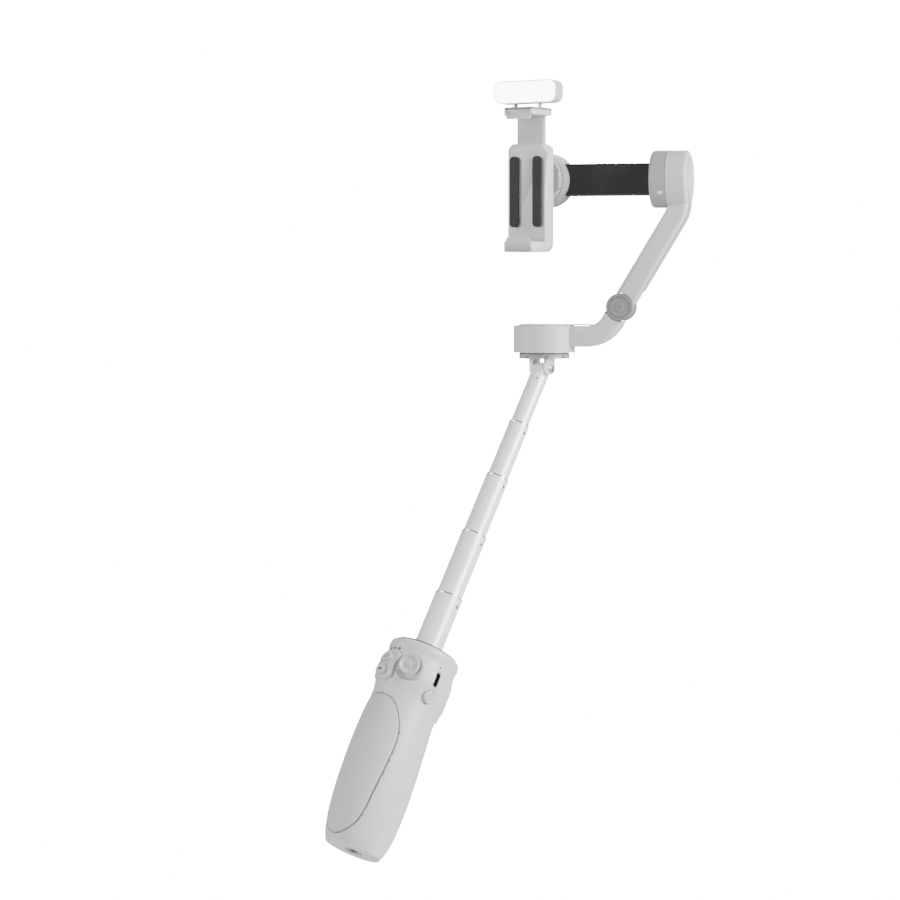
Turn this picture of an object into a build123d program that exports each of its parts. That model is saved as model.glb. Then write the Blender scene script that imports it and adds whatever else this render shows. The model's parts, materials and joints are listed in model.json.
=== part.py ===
from build123d import *
import os
from functools import cache
from math import asin, cos, radians, sin, tan

# Three-axis phone gimbal on a telescoping rod, standing in its working pose:
# the phone clamp is level, the pan axis is upright, and the rod leans back.
# Row frame: +X along the long side of a held phone, +Y away from the user, +Z up, in mm.
# Origin: the mouth of the tripod thread in the handle's base.
#
# Four frames are used. Each piece is drawn upright in its own frame, and PLACES, at the
# end, carries the finished piece to the row frame with one rigid move.
#   handle frame  z up the rod, -y the button side, origin on the rod axis at the base
#   yoke frame    the head's upright frame, turned to face the same way as the handle
#   arm frame     x out along the tilt axis, z along the pan axis, origin where axes meet
#   clamp frame   x along the phone, y through the phone, origin where the axes meet

# ---- Pose -------------------------------------------------------------------------------
rod_lean = 32.0  # degrees between the rod and the pan axis
handle_turn = -14.0  # degrees, the handle and yoke about the pan axis
arm_turn = 16.0  # degrees, the tilt axis about the pan axis

# ---- Fits -------------------------------------------------------------------------------
running = 0.05  # radial clearance of a shaft in its bore
sliding = 0.07  # radial clearance of one tube in the next
part_gap = 0.3  # gap between faces of different moving bodies
seam = 0.2  # gap round an inlaid panel or a key

# ---- Handle -----------------------------------------------------------------------------
handle_length = 129.0
shell_wall = 2.0
base_thickness = 3.0
ring_thickness = 1.6
rod_hole_clearance = 0.35
thread_y = 6.5  # tripod thread behind the rod axis, because the grip is raked
thread_radius = 3.0  # 1/4"-20, cut to a plain hole a little under the major diameter
thread_depth = 9.0
# Sections at even steps from the base to the top: mean half width, centre behind the rod axis
handle_sections = [
    (17.2, 5.3),
    (20.1, 5.0),
    (21.4, 4.6),
    (22.1, 4.0),
    (22.5, 3.3),
    (22.7, 2.7),
    (22.7, 2.0),
    (22.6, 1.4),
    (22.3, 0.8),
    (22.0, 0.4),
    (21.5, 0.0),
    (21.1, 0.0),
    (21.5, 0.0),
    (23.1, 0.0),
    (22.9, 0.0),
    (21.8, 0.0),
    (20.4, 0.0),
]
handle_flatness = 0.965  # side-to-side half width over the mean, and 2 minus it front to back

# ---- Telescoping rod --------------------------------------------------------------------
tube_names = ["tube_a", "tube_b", "tube_c", "tube_d", "tube_e"]
tube_exposed = [38.0, 43.0, 40.5, 38.5, 40.5]  # what shows of each, the last up to the pin
tube_e_diameter = 11.6
tube_step = 0.75  # each tube is this much larger in radius than the next
tube_wall = 0.4
tube_overlap = 11.0
tube_lip = 1.5  # turned-in rim that the next tube's flared foot stops against
tube_stop_gap = 0.1

# ---- Head hinge -------------------------------------------------------------------------
pin_below_axes = 119.0  # the hinge pin under the point where the motor axes meet
pin_forward = 2.2  # the hinge pin in front of the pan axis
pin_radius = 1.9
knuckle_width = 8.8
knuckle_depth = 7.6
ear_thickness = 2.9
collar_drop = 5.2  # top of the rod's end collar under the pin
collar_height = 1.4
plug_depth = 9.0

# ---- Pan motor --------------------------------------------------------------------------
pan_radius = 19.6
pan_top = -91.5
pan_bottom = -108.8
pan_wall = 2.0
base_ring_radius = 16.0
base_ring_bottom = -112.6
yoke_plate_radius = 12.0
yoke_plate_thickness = 2.0
pan_shaft_radius = 4.0
bearing_ring = 4.0  # radial width of a ball bearing
bearing_height = 4.2

# ---- Arm --------------------------------------------------------------------------------
arm_depth = 17.0
arm_thickness = 13.2
arm_rise = 31.0  # degrees of the fold joint and upper arm from upright
arm_edge = 3.0  # rounding of the arm's long edges
lower_arm_drop = 0.4  # the arm's top under the pan motor's top
fold_x = 49.5
fold_z = -80.0
fold_radius = 8.7
fold_pin_radius = 2.0
middle_knuckle_width = 6.0  # width of the middle knuckle of the fold joint
fold_web = 9.0  # width of the tenon that ties a knuckle to its arm
fold_tenon = 6.0  # how far a tenon goes into its arm
top_inlay_thickness = 0.8
inlay_width = 10.0
inlay_proud = 0.7
inlay_depth = 0.9

# ---- Tilt motor -------------------------------------------------------------------------
tilt_radius = 18.0
rotor_face = 68.7  # inner face of the tilt motor from the pan axis
tilt_seam = 79.0
tilt_outer = 92.6
tilt_cap_radius = 14.0
motor_wall = 1.8
motor_shaft_radius = 3.0
bracket_height = 20.4
bracket_thickness = 7.0

# ---- Roll motor and clamp ---------------------------------------------------------------
roll_radius = 17.0
roll_front = -7.6
roll_back = 11.0
phone_height = 78.1  # what the jaws hold at rest
phone_thickness = 7.6
clamp_width = 26.0
plate_front = -25.0
plate_back = -13.2
plate_top = 22.0
pad_thickness = 2.0
phone_front = plate_front - pad_thickness - phone_thickness
jaw_thickness = 4.7
lower_jaw_thickness = 6.3
lip_width = 16.0
lip_thickness = 1.9
lip_overlap = 2.5
jaw_tongue_width = 18.0
jaw_tongue_thickness = 4.4
jaw_tongue_bottom = -12.0
pocket_bottom = -30.0
jaw_cover_thickness = 1.6
spring_radius = 2.1
spring_wire = 0.35
spring_turns = 14

# ---- Fill light -------------------------------------------------------------------------
light_width = 43.4
light_height = 14.2
light_depth = 11.0
light_corner = 5.0
light_front = -27.3
foot_height = 2.9
foot_spacing = 17.4
foot_radius = 1.6

pieces = []


# =========================================================================================
# Handle frame
# =========================================================================================
@cache
def handle_solid(inset):
    """The handle's outside shape, drawn in by inset."""
    with BuildPart() as body:
        for step, (half, centre) in enumerate(handle_sections):
            with BuildSketch(Plane.XY.offset(step / (len(handle_sections) - 1) * handle_length)):
                with Locations((0, centre)):
                    # turned a quarter, so that the loft's seam runs down the back
                    Ellipse(half * (2 - handle_flatness) - inset, half * handle_flatness - inset,
                            rotation=90)
        loft()
    return body.part


def between(low, high):
    """A block wider than the handle between two heights."""
    with BuildPart() as block:
        with BuildSketch(Plane.XY.offset(low)):
            Rectangle(120, 120)
        extrude(amount=high - low)
    return block.part


def skin(bar, outside, inside):
    """The part of a bar between two depths under the handle's surface, negative for outside it."""
    return (bar & handle_solid(outside)) - handle_solid(inside)


shell_top = handle_length - ring_thickness
key_turn = 14.0  # degrees that the key pad faces to the left of the front
keys = Plane(origin=(0, 0, 0), x_dir=(cos(radians(key_turn)), -sin(radians(key_turn)), 0),
             z_dir=(-sin(radians(key_turn)), -cos(radians(key_turn)), 0))
stick_turn = 31.5  # degrees that the joystick faces to the right of the front
stick_height = handle_length - 18.5
stick_reach = 22.0  # seat of the joystick from the rod axis
stick = Plane(
    origin=(stick_reach * sin(radians(stick_turn)), -stick_reach * cos(radians(stick_turn)), stick_height),
    x_dir=(cos(radians(stick_turn)), sin(radians(stick_turn)), 0),
    z_dir=(sin(radians(stick_turn)), -cos(radians(stick_turn)), 0),
)
side = Plane(origin=(0, -4.3, 0), x_dir=(0, 1, 0), z_dir=(1, 0, 0))
left_side = Plane(origin=(0, -3.0, 0), x_dir=(0, -1, 0), z_dir=(-1, 0, 0))
back = Plane(origin=(0, 0, 0), x_dir=(-1, 0, 0), z_dir=(0, 1, 0))

pad_width, pad_height, pad_corner, pad_rise = 20.0, 18.5, 4.0, 1.0
pad_z = handle_length - 20.0
key_width, key_height, key_corner, key_rise = 11.2, 5.6, 2.6, 2.0
mode_z, record_z = handle_length - 15.6, handle_length - 24.2
key_depth = 3.6  # how far a key reaches in from the handle's surface
usb_z, usb_length, usb_width, usb_reach = handle_length - 19.0, 9.0, 3.3, 7.4
power_z, power_radius, power_rise = handle_length - 30.4, 4.0, 0.7
charge_z, charge_radius = handle_length - 11.0, 0.6
led_z, led_radius, led_spacing = handle_length - 8.8, 0.8, 4.0
stick_hole = 6.0
rocker_z, rocker_length, rocker_width, rocker_rise = handle_length - 21.0, 18.0, 8.0, 1.6
cover_low, cover_high, cover_width, cover_corner = 14.0, handle_length - 8.0, 27.0, 7.0
trigger_top, trigger_bottom, trigger_width = handle_length - 16.0, handle_length - 37.0, 13.0
trigger_pivot_y, trigger_pivot_z, trigger_pin_radius = 19.6, trigger_top - 2.4, 1.0
cover_screw_radius = 1.5


def prism(plane, centre, width, height, corner, grow=0.0, reach=60.0):
    """A rounded bar standing out of a plane through the rod axis, grown all round."""
    with BuildPart() as bar:
        with BuildSketch(plane):
            with Locations(centre):
                RectangleRounded(width + 2 * grow, height + 2 * grow, corner + grow)
        extrude(amount=reach)
    return bar.part


def round_bars(plane, places, radius):
    """Round bars standing out of a plane through the rod axis."""
    with BuildPart() as bars:
        with BuildSketch(plane):
            with Locations(*places):
                Circle(radius)
        extrude(amount=60)
    return bars.part


# Right edge of the grip panel, from its top to its bottom
panel_edge = [(0, 90.5), (9.5, 87.5), (15.0, 79.0), (17.4, 57.0), (15.0, 28.0), (8.5, 8.0), (0, 3.6)]
panel_middle = (panel_edge[0][1] + panel_edge[-1][1]) / 2


def panel_bar(grow):
    """The grip panel's outline seen from the front, grown all round, as a bar along -y."""
    wider = 1 + grow / max(x for x, z in panel_edge)
    taller = 1 + grow / (panel_edge[0][1] - panel_middle)
    right = [(x * wider, panel_middle + (z - panel_middle) * taller) for x, z in panel_edge]
    left = [(-x, z) for x, z in right[-2:0:-1]]
    with BuildPart() as bar:
        with BuildSketch(Plane.XZ):
            with BuildLine():
                Spline(*right, *left, periodic=True)
            make_face()
        extrude(amount=60)
    return bar.part


pad_bar = prism(keys, (0, pad_z), pad_width, pad_height, pad_corner)
pad_hole = prism(keys, (0, pad_z), pad_width, pad_height, pad_corner, seam)
rocker_hole = prism(left_side, (0, rocker_z), rocker_width, rocker_length, 3.0, 0.5)
cover_middle = (cover_low + cover_high) / 2
cover_bar = prism(back, (0, cover_middle), cover_width, cover_high - cover_low, cover_corner)
cover_hole = prism(back, (0, cover_middle), cover_width, cover_high - cover_low, cover_corner, seam)
# the trigger's slot has nearly square corners and room below, because the trigger dips as it is pulled
trigger_hole = prism(back, (0, (trigger_top + trigger_bottom) / 2), trigger_width + 0.8,
                     trigger_top - trigger_bottom + 1.6, 0.5)
panel_sink = 1.2  # depth of the grip panel's recess
panel_proud = 0.4
pad_sink = 1.0
skirt_radius = 8.4

with BuildPart() as handle_shell:
    add(handle_solid(0) & between(0, shell_top))
    add(handle_solid(shell_wall) & between(-1, shell_top - shell_wall), mode=Mode.SUBTRACT)
    add(skin(panel_bar(seam), -2, panel_sink), mode=Mode.SUBTRACT)
    add(skin(pad_hole, -2, pad_sink), mode=Mode.SUBTRACT)
    add(cover_hole, mode=Mode.SUBTRACT)
    add(rocker_hole, mode=Mode.SUBTRACT)
    # windows for the two keys, under the pad that frames them
    for height in (mode_z, record_z):
        add(prism(keys, (0, height), key_width, key_height, key_corner, seam), mode=Mode.SUBTRACT)
    # holes for the joystick, the USB socket, the charge light and the power button
    with BuildSketch(stick.offset(-10)):
        Circle(stick_hole)
    extrude(amount=20, mode=Mode.SUBTRACT)
    with BuildSketch(stick):
        Circle(skirt_radius + 0.1)
    extrude(amount=10, mode=Mode.SUBTRACT)
    with BuildSketch(side):
        with Locations((0, usb_z)):
            SlotOverall(usb_length, usb_width, rotation=90)
        with Locations((0, charge_z)):
            Circle(charge_radius)
        with Locations((0, power_z)):
            Circle(power_radius + seam)
    extrude(amount=40, mode=Mode.SUBTRACT)
    # four small holes for the status lights
    with BuildSketch(keys):
        with Locations((0, led_z)):
            with GridLocations(led_spacing, led_spacing, 4, 1):
                Circle(led_radius)
    extrude(amount=40, mode=Mode.SUBTRACT)
    # the rod's way out of the top
    with BuildSketch(Plane.XY.offset(shell_top - shell_wall - 1)):
        Circle(tube_e_diameter / 2 + 4 * tube_step + rod_hole_clearance + 1.2)
    extrude(amount=shell_wall + 2, mode=Mode.SUBTRACT)
handle_shell.part.label = "handle_shell"
pieces.append(("handle", handle_shell.part))

with BuildPart() as grip_panel:
    add(skin(panel_bar(0), -panel_proud, panel_sink))
grip_panel.part.label = "grip_panel"
pieces.append(("handle", grip_panel.part))

screw_x = 8.5
screw_places = [(x, z) for z in (cover_low + 10, trigger_bottom - 8) for x in (-screw_x, screw_x)]
with BuildPart() as rear_cover:
    add(skin(cover_bar, 0, shell_wall))
    add(trigger_hole, mode=Mode.SUBTRACT)
    with BuildSketch(Plane.YZ):
        with Locations((trigger_pivot_y, trigger_pivot_z)):
            Circle(trigger_pin_radius)
    extrude(amount=cover_width / 2 - 2, both=True, mode=Mode.SUBTRACT)
    with BuildSketch(Plane.XZ):
        with Locations(*screw_places):
            Circle(cover_screw_radius)
    extrude(amount=-60, mode=Mode.SUBTRACT)
rear_cover.part.label = "rear_cover"
pieces.append(("handle", rear_cover.part))

with BuildPart() as control_pad:
    add(skin(pad_bar, -pad_rise, pad_sink))
    for height in (mode_z, record_z):
        add(prism(keys, (0, height), key_width, key_height, key_corner, seam), mode=Mode.SUBTRACT)
    # a round bite that clears the joystick's skirt
    with BuildSketch(stick):
        Circle(skirt_radius + seam)
    extrude(amount=10, mode=Mode.SUBTRACT)
control_pad.part.label = "control_pad"
pieces.append(("handle", control_pad.part))

for name, height in (("mode_button", mode_z), ("record_button", record_z)):
    with BuildPart() as key:
        add(skin(prism(keys, (0, height), key_width, key_height, key_corner), -key_rise, key_depth))
    key.part.label = name
    pieces.append(("handle", key.part))

ring_half = handle_sections[-1][0] - 0.1
with BuildPart() as top_ring:
    with BuildSketch(Plane.XY.offset(shell_top)):
        Ellipse(ring_half * handle_flatness, ring_half * (2 - handle_flatness))
        Circle(tube_e_diameter / 2 + 4 * tube_step + rod_hole_clearance, mode=Mode.SUBTRACT)
    extrude(amount=ring_thickness)
    fillet(top_ring.edges().group_by(Axis.Z)[-1].sort_by(SortBy.LENGTH)[-1], 1.2)
top_ring.part.label = "top_ring"
pieces.append(("handle", top_ring.part))

with BuildPart() as base_cap:
    add(handle_solid(shell_wall + 0.1) & between(0, base_thickness))
    with BuildSketch(Plane.XY):
        with Locations((0, thread_y)):
            Circle(5.0)
    extrude(amount=thread_depth + 2)
    with BuildSketch(Plane.XY):
        with Locations((0, thread_y)):
            Circle(4.2)
    extrude(amount=thread_depth, mode=Mode.SUBTRACT)
base_cap.part.label = "base_cap"
pieces.append(("handle", base_cap.part))

with BuildPart() as tripod_insert:
    with BuildSketch(Plane.XY):
        with Locations((0, thread_y)):
            Circle(4.2)
            Circle(thread_radius, mode=Mode.SUBTRACT)
    extrude(amount=thread_depth)
tripod_insert.part.label = "tripod_insert"
pieces.append(("handle", tripod_insert.part))

# The fixed outer guide that the rod slides into
tube_radii = [tube_e_diameter / 2 + tube_step * n for n in (4, 3, 2, 1, 0)]
guide_bore = tube_radii[0] + tube_step - tube_wall
guide_bottom = handle_length - 54.5
guide_wall = 1.2
with BuildPart() as rod_guide:
    with BuildSketch(Plane.XZ):
        with BuildLine():
            Polyline(
                (0, guide_bottom),
                (guide_bore + guide_wall, guide_bottom),
                (guide_bore + guide_wall, shell_top),
                (tube_radii[0] + sliding, shell_top),
                (tube_radii[0] + sliding, shell_top - tube_lip),
                (guide_bore, shell_top - tube_lip),
                (guide_bore, guide_bottom + 1.5),
                (0, guide_bottom + 1.5),
                close=True,
            )
        make_face()
    revolve(axis=Axis.Z)
rod_guide.part.label = "rod_guide"
pieces.append(("handle", rod_guide.part))

cell_radius, cell_length, cell_bottom, cell_y = 9.1, guide_bottom - 14.5, 12.5, 0.8
with BuildPart() as battery_cell:
    with BuildSketch(Plane.XY.offset(cell_bottom)):
        with Locations((0, cell_y)):
            Circle(cell_radius)
    extrude(amount=cell_length)
    fillet(battery_cell.edges().filter_by(GeomType.CIRCLE), 0.8)
    with BuildSketch(Plane.XY.offset(cell_bottom + cell_length)):
        with Locations((0, cell_y)):
            Circle(2.8)
    extrude(amount=1.2)
battery_cell.part.label = "battery_cell"
pieces.append(("handle", battery_cell.part))

board_y, board_thickness = -13.0, 1.2
frame_y, frame_thickness = 11.7, 2.0
with BuildPart() as inner_frame:
    # a spine behind the guide and the cell, cradles round the cell, and posts to the cover
    with BuildSketch(Plane.XY.offset(base_thickness)):
        with Locations((0, frame_y + frame_thickness / 2)):
            Rectangle(24, frame_thickness)
    extrude(amount=cover_high - 4 - base_thickness)
    for height in (cell_bottom + 8, cell_bottom + cell_length - 12):
        with BuildSketch(Plane.XY.offset(height)):
            with Locations((0, 3)):
                RectangleRounded(24, 20, 3)
            with Locations((0, cell_y)):
                Circle(cell_radius, mode=Mode.SUBTRACT)
        extrude(amount=3)
    # struts that carry the board, beside the rod guide
    for height in (handle_length - 45, handle_length - 10.5):
        with BuildSketch(Plane.XY.offset(height)):
            with Locations((0, (board_y + frame_y) / 2)):
                Rectangle(24, frame_y - board_y)
            Circle(guide_bore + guide_wall, mode=Mode.SUBTRACT)
            with Locations((0, board_y)):
                Rectangle(12, 8, mode=Mode.SUBTRACT)
        extrude(amount=2)
    # posts for the cover's screws
    with BuildSketch(Plane.XZ.offset(-frame_y - frame_thickness)):
        with Locations(*screw_places):
            Circle(2.6)
            Circle(cover_screw_radius, mode=Mode.SUBTRACT)
    extrude(amount=-2.0)
inner_frame.part.label = "inner_frame"
pieces.append(("handle", inner_frame.part))

with BuildPart() as main_board:
    with BuildSketch(Plane.XY.offset(handle_length - 49)):
        with Locations((0, board_y - board_thickness / 2)):
            Rectangle(23, board_thickness)
    extrude(amount=41)
    with BuildSketch(Plane.XZ.offset(-board_y)):
        with Locations((0, handle_length - 20), (-3, handle_length - 36)):
            Rectangle(7, 7)
    extrude(amount=-1.0)
main_board.part.label = "main_board"
pieces.append(("handle", main_board.part))

face_out = 21.5  # the socket's mouth, just under the surface
with BuildPart() as usb_c_port:
    with BuildSketch(side.offset(face_out)):
        with Locations((0, usb_z)):
            SlotOverall(usb_length - 0.1, usb_width - 0.1, rotation=90)
            SlotOverall(usb_length - 0.8, usb_width - 0.8, rotation=90, mode=Mode.SUBTRACT)
    extrude(amount=-usb_reach)
    with BuildSketch(side.offset(face_out - usb_reach)):
        with Locations((0, usb_z)):
            SlotOverall(usb_length - 0.1, usb_width - 0.1, rotation=90)
    extrude(amount=0.6)
    with BuildSketch(side.offset(face_out - 0.6)):
        with Locations((0, usb_z)):
            Rectangle(0.7, 6.6)
    extrude(amount=-usb_reach + 1)
usb_c_port.part.label = "usb_c_port"
pieces.append(("handle", usb_c_port.part))

with BuildPart() as charge_light:
    add(skin(round_bars(side, [(0, charge_z)], charge_radius), 0, 3.0))
charge_light.part.label = "charge_light"
pieces.append(("handle", charge_light.part))

with BuildPart() as status_lights:
    add(skin(round_bars(keys, [(step * led_spacing, led_z) for step in (-1.5, -0.5, 0.5, 1.5)], led_radius),
             -0.1, 3.0))
status_lights.part.label = "status_lights"
pieces.append(("handle", status_lights.part))

power_out = 21.2
with BuildPart() as power_button:
    with BuildSketch(side.offset(power_out - 4.0)):
        with Locations((0, power_z)):
            Circle(power_radius)
    extrude(amount=4.0 + power_rise)
    fillet(power_button.edges().group_by(Axis.X)[-1], 0.6)
power_button.part.label = "power_button"
pieces.append(("handle", power_button.part))

# ---- Joystick: a fixed skirt, a crosspiece that tips up and down, a cap that tips across
skirt_height, skirt_throat, skirt_depth = 2.0, 4.8, 3.4
cap_radius, cap_height, cap_seat = 6.4, 2.6, 4.4
stick_pivot = -1.6  # the joystick's tipping centre under its seat
cross_ball, cap_stem = 1.8, 1.4
with BuildPart() as joystick_skirt:
    with BuildSketch(Plane.XZ):
        with BuildLine():
            Polyline((stick_hole - 0.1, 0), (skirt_radius, 0), (skirt_radius, 0.7))
            ThreePointArc((skirt_radius, 0.7), (skirt_radius - 0.5, 1.6),
                          (skirt_radius - 1.4, skirt_height))
            Polyline(
                (skirt_radius - 1.4, skirt_height),
                (skirt_throat, 1.0),
                (skirt_throat, -skirt_depth),
                (stick_hole - 0.1, -skirt_depth),
                (stick_hole - 0.1, 0),
            )
        make_face()
    revolve(axis=Axis.Z)
joystick_skirt.part.label = "joystick_skirt"
pieces.append(("stick", joystick_skirt.part))

with BuildPart() as joystick_cross:
    with Locations((0, 0, stick_pivot)):
        Sphere(cross_ball)
        Cylinder(0.9, 2 * skirt_throat - 0.3, rotation=(0, 90, 0))
joystick_cross.part.label = "joystick_cross"
pieces.append(("stick", joystick_cross.part))

hollow = cross_ball + running
hollow_angle = asin(cap_stem / hollow)
with BuildPart() as joystick_cap:
    with BuildSketch(Plane.XZ):
        with BuildLine():
            Line((0, cap_seat + 1.9), (0, stick_pivot + hollow))
            # the stem ends in a hollow that seats on the crosspiece's ball
            ThreePointArc((0, stick_pivot + hollow),
                          (hollow * sin(hollow_angle / 2), stick_pivot + hollow * cos(hollow_angle / 2)),
                          (cap_stem, stick_pivot + hollow * cos(hollow_angle)))
            Polyline((cap_stem, stick_pivot + hollow * cos(hollow_angle)), (cap_stem, cap_seat),
                     (cap_radius - 0.6, cap_seat))
            ThreePointArc((cap_radius - 0.6, cap_seat), (cap_radius, cap_seat + 1.0),
                          (cap_radius - 0.9, cap_seat + cap_height - 0.3))
            # the top dips to a dish round a low centre stud
            Spline((cap_radius - 0.9, cap_seat + cap_height - 0.3), (3.9, cap_seat + 1.2),
                   (2.1, cap_seat + 1.2))
            Polyline((2.1, cap_seat + 1.2), (1.5, cap_seat + 1.9), (0, cap_seat + 1.9))
        make_face()
    revolve(axis=Axis.Z)
joystick_cap.part.label = "joystick_cap"
pieces.append(("stick", joystick_cap.part))

# ---- Zoom rocker on the left, trigger at the back
with BuildPart() as zoom_rocker:
    add(skin(prism(left_side, (0, rocker_z), rocker_width, rocker_length, 3.0), -rocker_rise, 2.6))
zoom_rocker.part.label = "zoom_rocker"
pieces.append(("handle", zoom_rocker.part))

with BuildPart() as trigger:
    with BuildSketch(Plane.YZ):
        with BuildLine():
            Polyline((17.4, trigger_top - 0.6), (21.5, trigger_top - 0.6))
            Spline((21.5, trigger_top - 0.6), (26.4, trigger_top - 5), (26.2, trigger_bottom + 6.5),
                   (25.0, trigger_bottom + 0.5), tangents=[(1, -0.2), (-0.1, -1)])
            Polyline((25.0, trigger_bottom + 0.5), (19.4, trigger_bottom + 0.5), (17.4, trigger_top - 0.6))
        make_face()
    extrude(amount=trigger_width / 2, both=True)
    fillet(trigger.edges().filter_by(Axis.X).sort_by(Axis.Y)[-3:], 0.8)
    with BuildSketch(Plane.YZ):
        with Locations((trigger_pivot_y, trigger_pivot_z)):
            Circle(trigger_pin_radius + running)
    extrude(amount=trigger_width, both=True, mode=Mode.SUBTRACT)
trigger.part.label = "trigger"
pieces.append(("handle", trigger.part))

with BuildPart() as trigger_pin:
    with BuildSketch(Plane.YZ):
        with Locations((trigger_pivot_y, trigger_pivot_z)):
            Circle(trigger_pin_radius)
    extrude(amount=cover_width / 2 - 2, both=True)
trigger_pin.part.label = "trigger_pin"
pieces.append(("handle", trigger_pin.part))

with BuildPart() as cover_screws:
    with BuildSketch(Plane.XZ.offset(-frame_y - frame_thickness)):
        with Locations(*screw_places):
            Circle(cover_screw_radius)
    extrude(amount=-14)
    add(handle_solid(0.4), mode=Mode.INTERSECT)
cover_screws.part.label = "cover_screws"
pieces.append(("handle", cover_screws.part))

# ---- Rod: five tubes and the end knuckle, z up the rod, origin still at the handle's base
pin_height = handle_length + sum(tube_exposed)
rims = [handle_length + sum(tube_exposed[:n + 1]) for n in range(5)]
rims[4] = pin_height - collar_drop - collar_height
for n, name in enumerate(tube_names):
    radius = tube_radii[n]
    bore = radius - tube_wall
    outer_rim = rims[n - 1] if n else shell_top
    foot = (rims[n - 1] if n else handle_length) - tube_overlap
    flare = radius + tube_step - tube_wall - sliding
    flare_top = outer_rim - tube_lip - tube_stop_gap
    lip = radius - tube_step + sliding
    # from the bore at the foot, out over the flare, up the outside, and round the rim
    outline = [(bore, foot), (flare, foot), (flare, flare_top), (radius, flare_top)]
    if n < 4:
        outline += [(radius, rims[n] - 0.25), (radius - 0.25, rims[n]), (lip, rims[n]),
                    (lip, rims[n] - tube_lip), (bore, rims[n] - tube_lip)]
    else:
        outline += [(radius, rims[n]), (bore, rims[n])]
    with BuildPart() as tube:
        with BuildSketch(Plane.XZ):
            with BuildLine():
                Polyline(*outline, close=True)
            make_face()
        revolve(axis=Axis.Z)
    tube.part.label = name
    pieces.append(("handle", tube.part))

with BuildPart() as rod_knuckle:
    with BuildSketch(Plane.XY.offset(rims[4] - plug_depth)):
        Circle(tube_radii[4] - tube_wall)
    extrude(amount=plug_depth)
    with BuildSketch(Plane.XY.offset(rims[4])):
        Circle(tube_radii[4])
    extrude(amount=collar_height)
    chamfer(rod_knuckle.edges().group_by(Axis.Z)[-1], 0.9)
    with BuildSketch(Plane.XZ):
        with Locations((0, pin_height - (collar_drop + collar_height) / 2)):
            Rectangle(knuckle_width, collar_drop + collar_height)
    extrude(amount=knuckle_depth / 2, both=True)
    with BuildSketch(Plane.YZ):
        with Locations((0, pin_height)):
            Circle(knuckle_depth / 2)
    extrude(amount=knuckle_width / 2, both=True)
    with BuildSketch(Plane.YZ):
        with Locations((0, pin_height)):
            Circle(pin_radius + running)
    extrude(amount=knuckle_width, both=True, mode=Mode.SUBTRACT)
rod_knuckle.part.label = "rod_knuckle"
pieces.append(("handle", rod_knuckle.part))


# =========================================================================================
# Yoke frame: origin where the motor axes meet, z up the pan axis, -y to the handle's front
# =========================================================================================
ear_top = base_ring_bottom
ear_inside = knuckle_width / 2 + part_gap
with BuildPart() as yoke:
    for hand in (-1, 1):
        centre = hand * (ear_inside + ear_thickness / 2)
        with BuildSketch(Plane.YZ.offset(centre)):
            with Locations((-pin_forward, (ear_top - pin_below_axes) / 2)):
                Rectangle(knuckle_depth, ear_top + pin_below_axes)
            with Locations((-pin_forward, -pin_below_axes)):
                Circle(knuckle_depth / 2)
                Circle(pin_radius, mode=Mode.SUBTRACT)
        extrude(amount=ear_thickness / 2, both=True)
    with BuildSketch(Plane.XY.offset(ear_top)):
        Circle(yoke_plate_radius)
    extrude(amount=yoke_plate_thickness)
yoke.part.label = "yoke"
pieces.append(("yoke", yoke.part))

with BuildPart() as hinge_pin:
    with BuildSketch(Plane.YZ):
        with Locations((-pin_forward, -pin_below_axes)):
            Circle(pin_radius)
    extrude(amount=ear_inside + ear_thickness, both=True)
    for hand in (-1, 1):
        with BuildSketch(Plane.YZ.offset(hand * (ear_inside + ear_thickness))):
            with Locations((-pin_forward, -pin_below_axes)):
                Circle(2.7)
        extrude(amount=0.6 * hand)
hinge_pin.part.label = "hinge_pin"
pieces.append(("yoke", hinge_pin.part))

ring_top = pan_bottom - part_gap
with BuildPart() as pan_base_ring:
    with BuildSketch(Plane.XY.offset(base_ring_bottom)):
        Circle(base_ring_radius)
        Circle(yoke_plate_radius, mode=Mode.SUBTRACT)
    extrude(amount=ring_top - base_ring_bottom)
    with BuildSketch(Plane.XY.offset(base_ring_bottom)):
        with PolarLocations(base_ring_radius, 8):
            Rectangle(2.4, 2.0)
    extrude(amount=1.8, mode=Mode.SUBTRACT)
    upper_circles = pan_base_ring.edges().filter_by(GeomType.CIRCLE).group_by(Axis.Z)[-1]
    chamfer(upper_circles.sort_by(SortBy.RADIUS)[-1], 0.4)
pan_base_ring.part.label = "pan_base_ring"
pieces.append(("yoke", pan_base_ring.part))

plate_top_z = base_ring_bottom + yoke_plate_thickness
bearing_top = pan_top - pan_wall - 0.4
with BuildPart() as pan_shaft:
    with BuildSketch(Plane.XY.offset(plate_top_z)):
        Circle(10.0)
    extrude(amount=1.4)
    with BuildSketch(Plane.XY.offset(plate_top_z)):
        Circle(pan_shaft_radius)
    extrude(amount=bearing_top - plate_top_z)
pan_shaft.part.label = "pan_shaft"
pieces.append(("yoke", pan_shaft.part))

bearing_bottom = bearing_top - bearing_height
with BuildPart() as pan_stator:
    with BuildSketch(Plane.XY.offset(pan_bottom + 1.6)):
        Circle(7.0)
        with PolarLocations(10.5, 12):
            Rectangle(8.0, 2.0)
        with PolarLocations(14.8, 12):
            Rectangle(2.0, 5.0)
        Circle(pan_shaft_radius, mode=Mode.SUBTRACT)
    extrude(amount=bearing_bottom - 0.8 - pan_bottom - 1.6)
pan_stator.part.label = "pan_stator"
pieces.append(("yoke", pan_stator.part))


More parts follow.
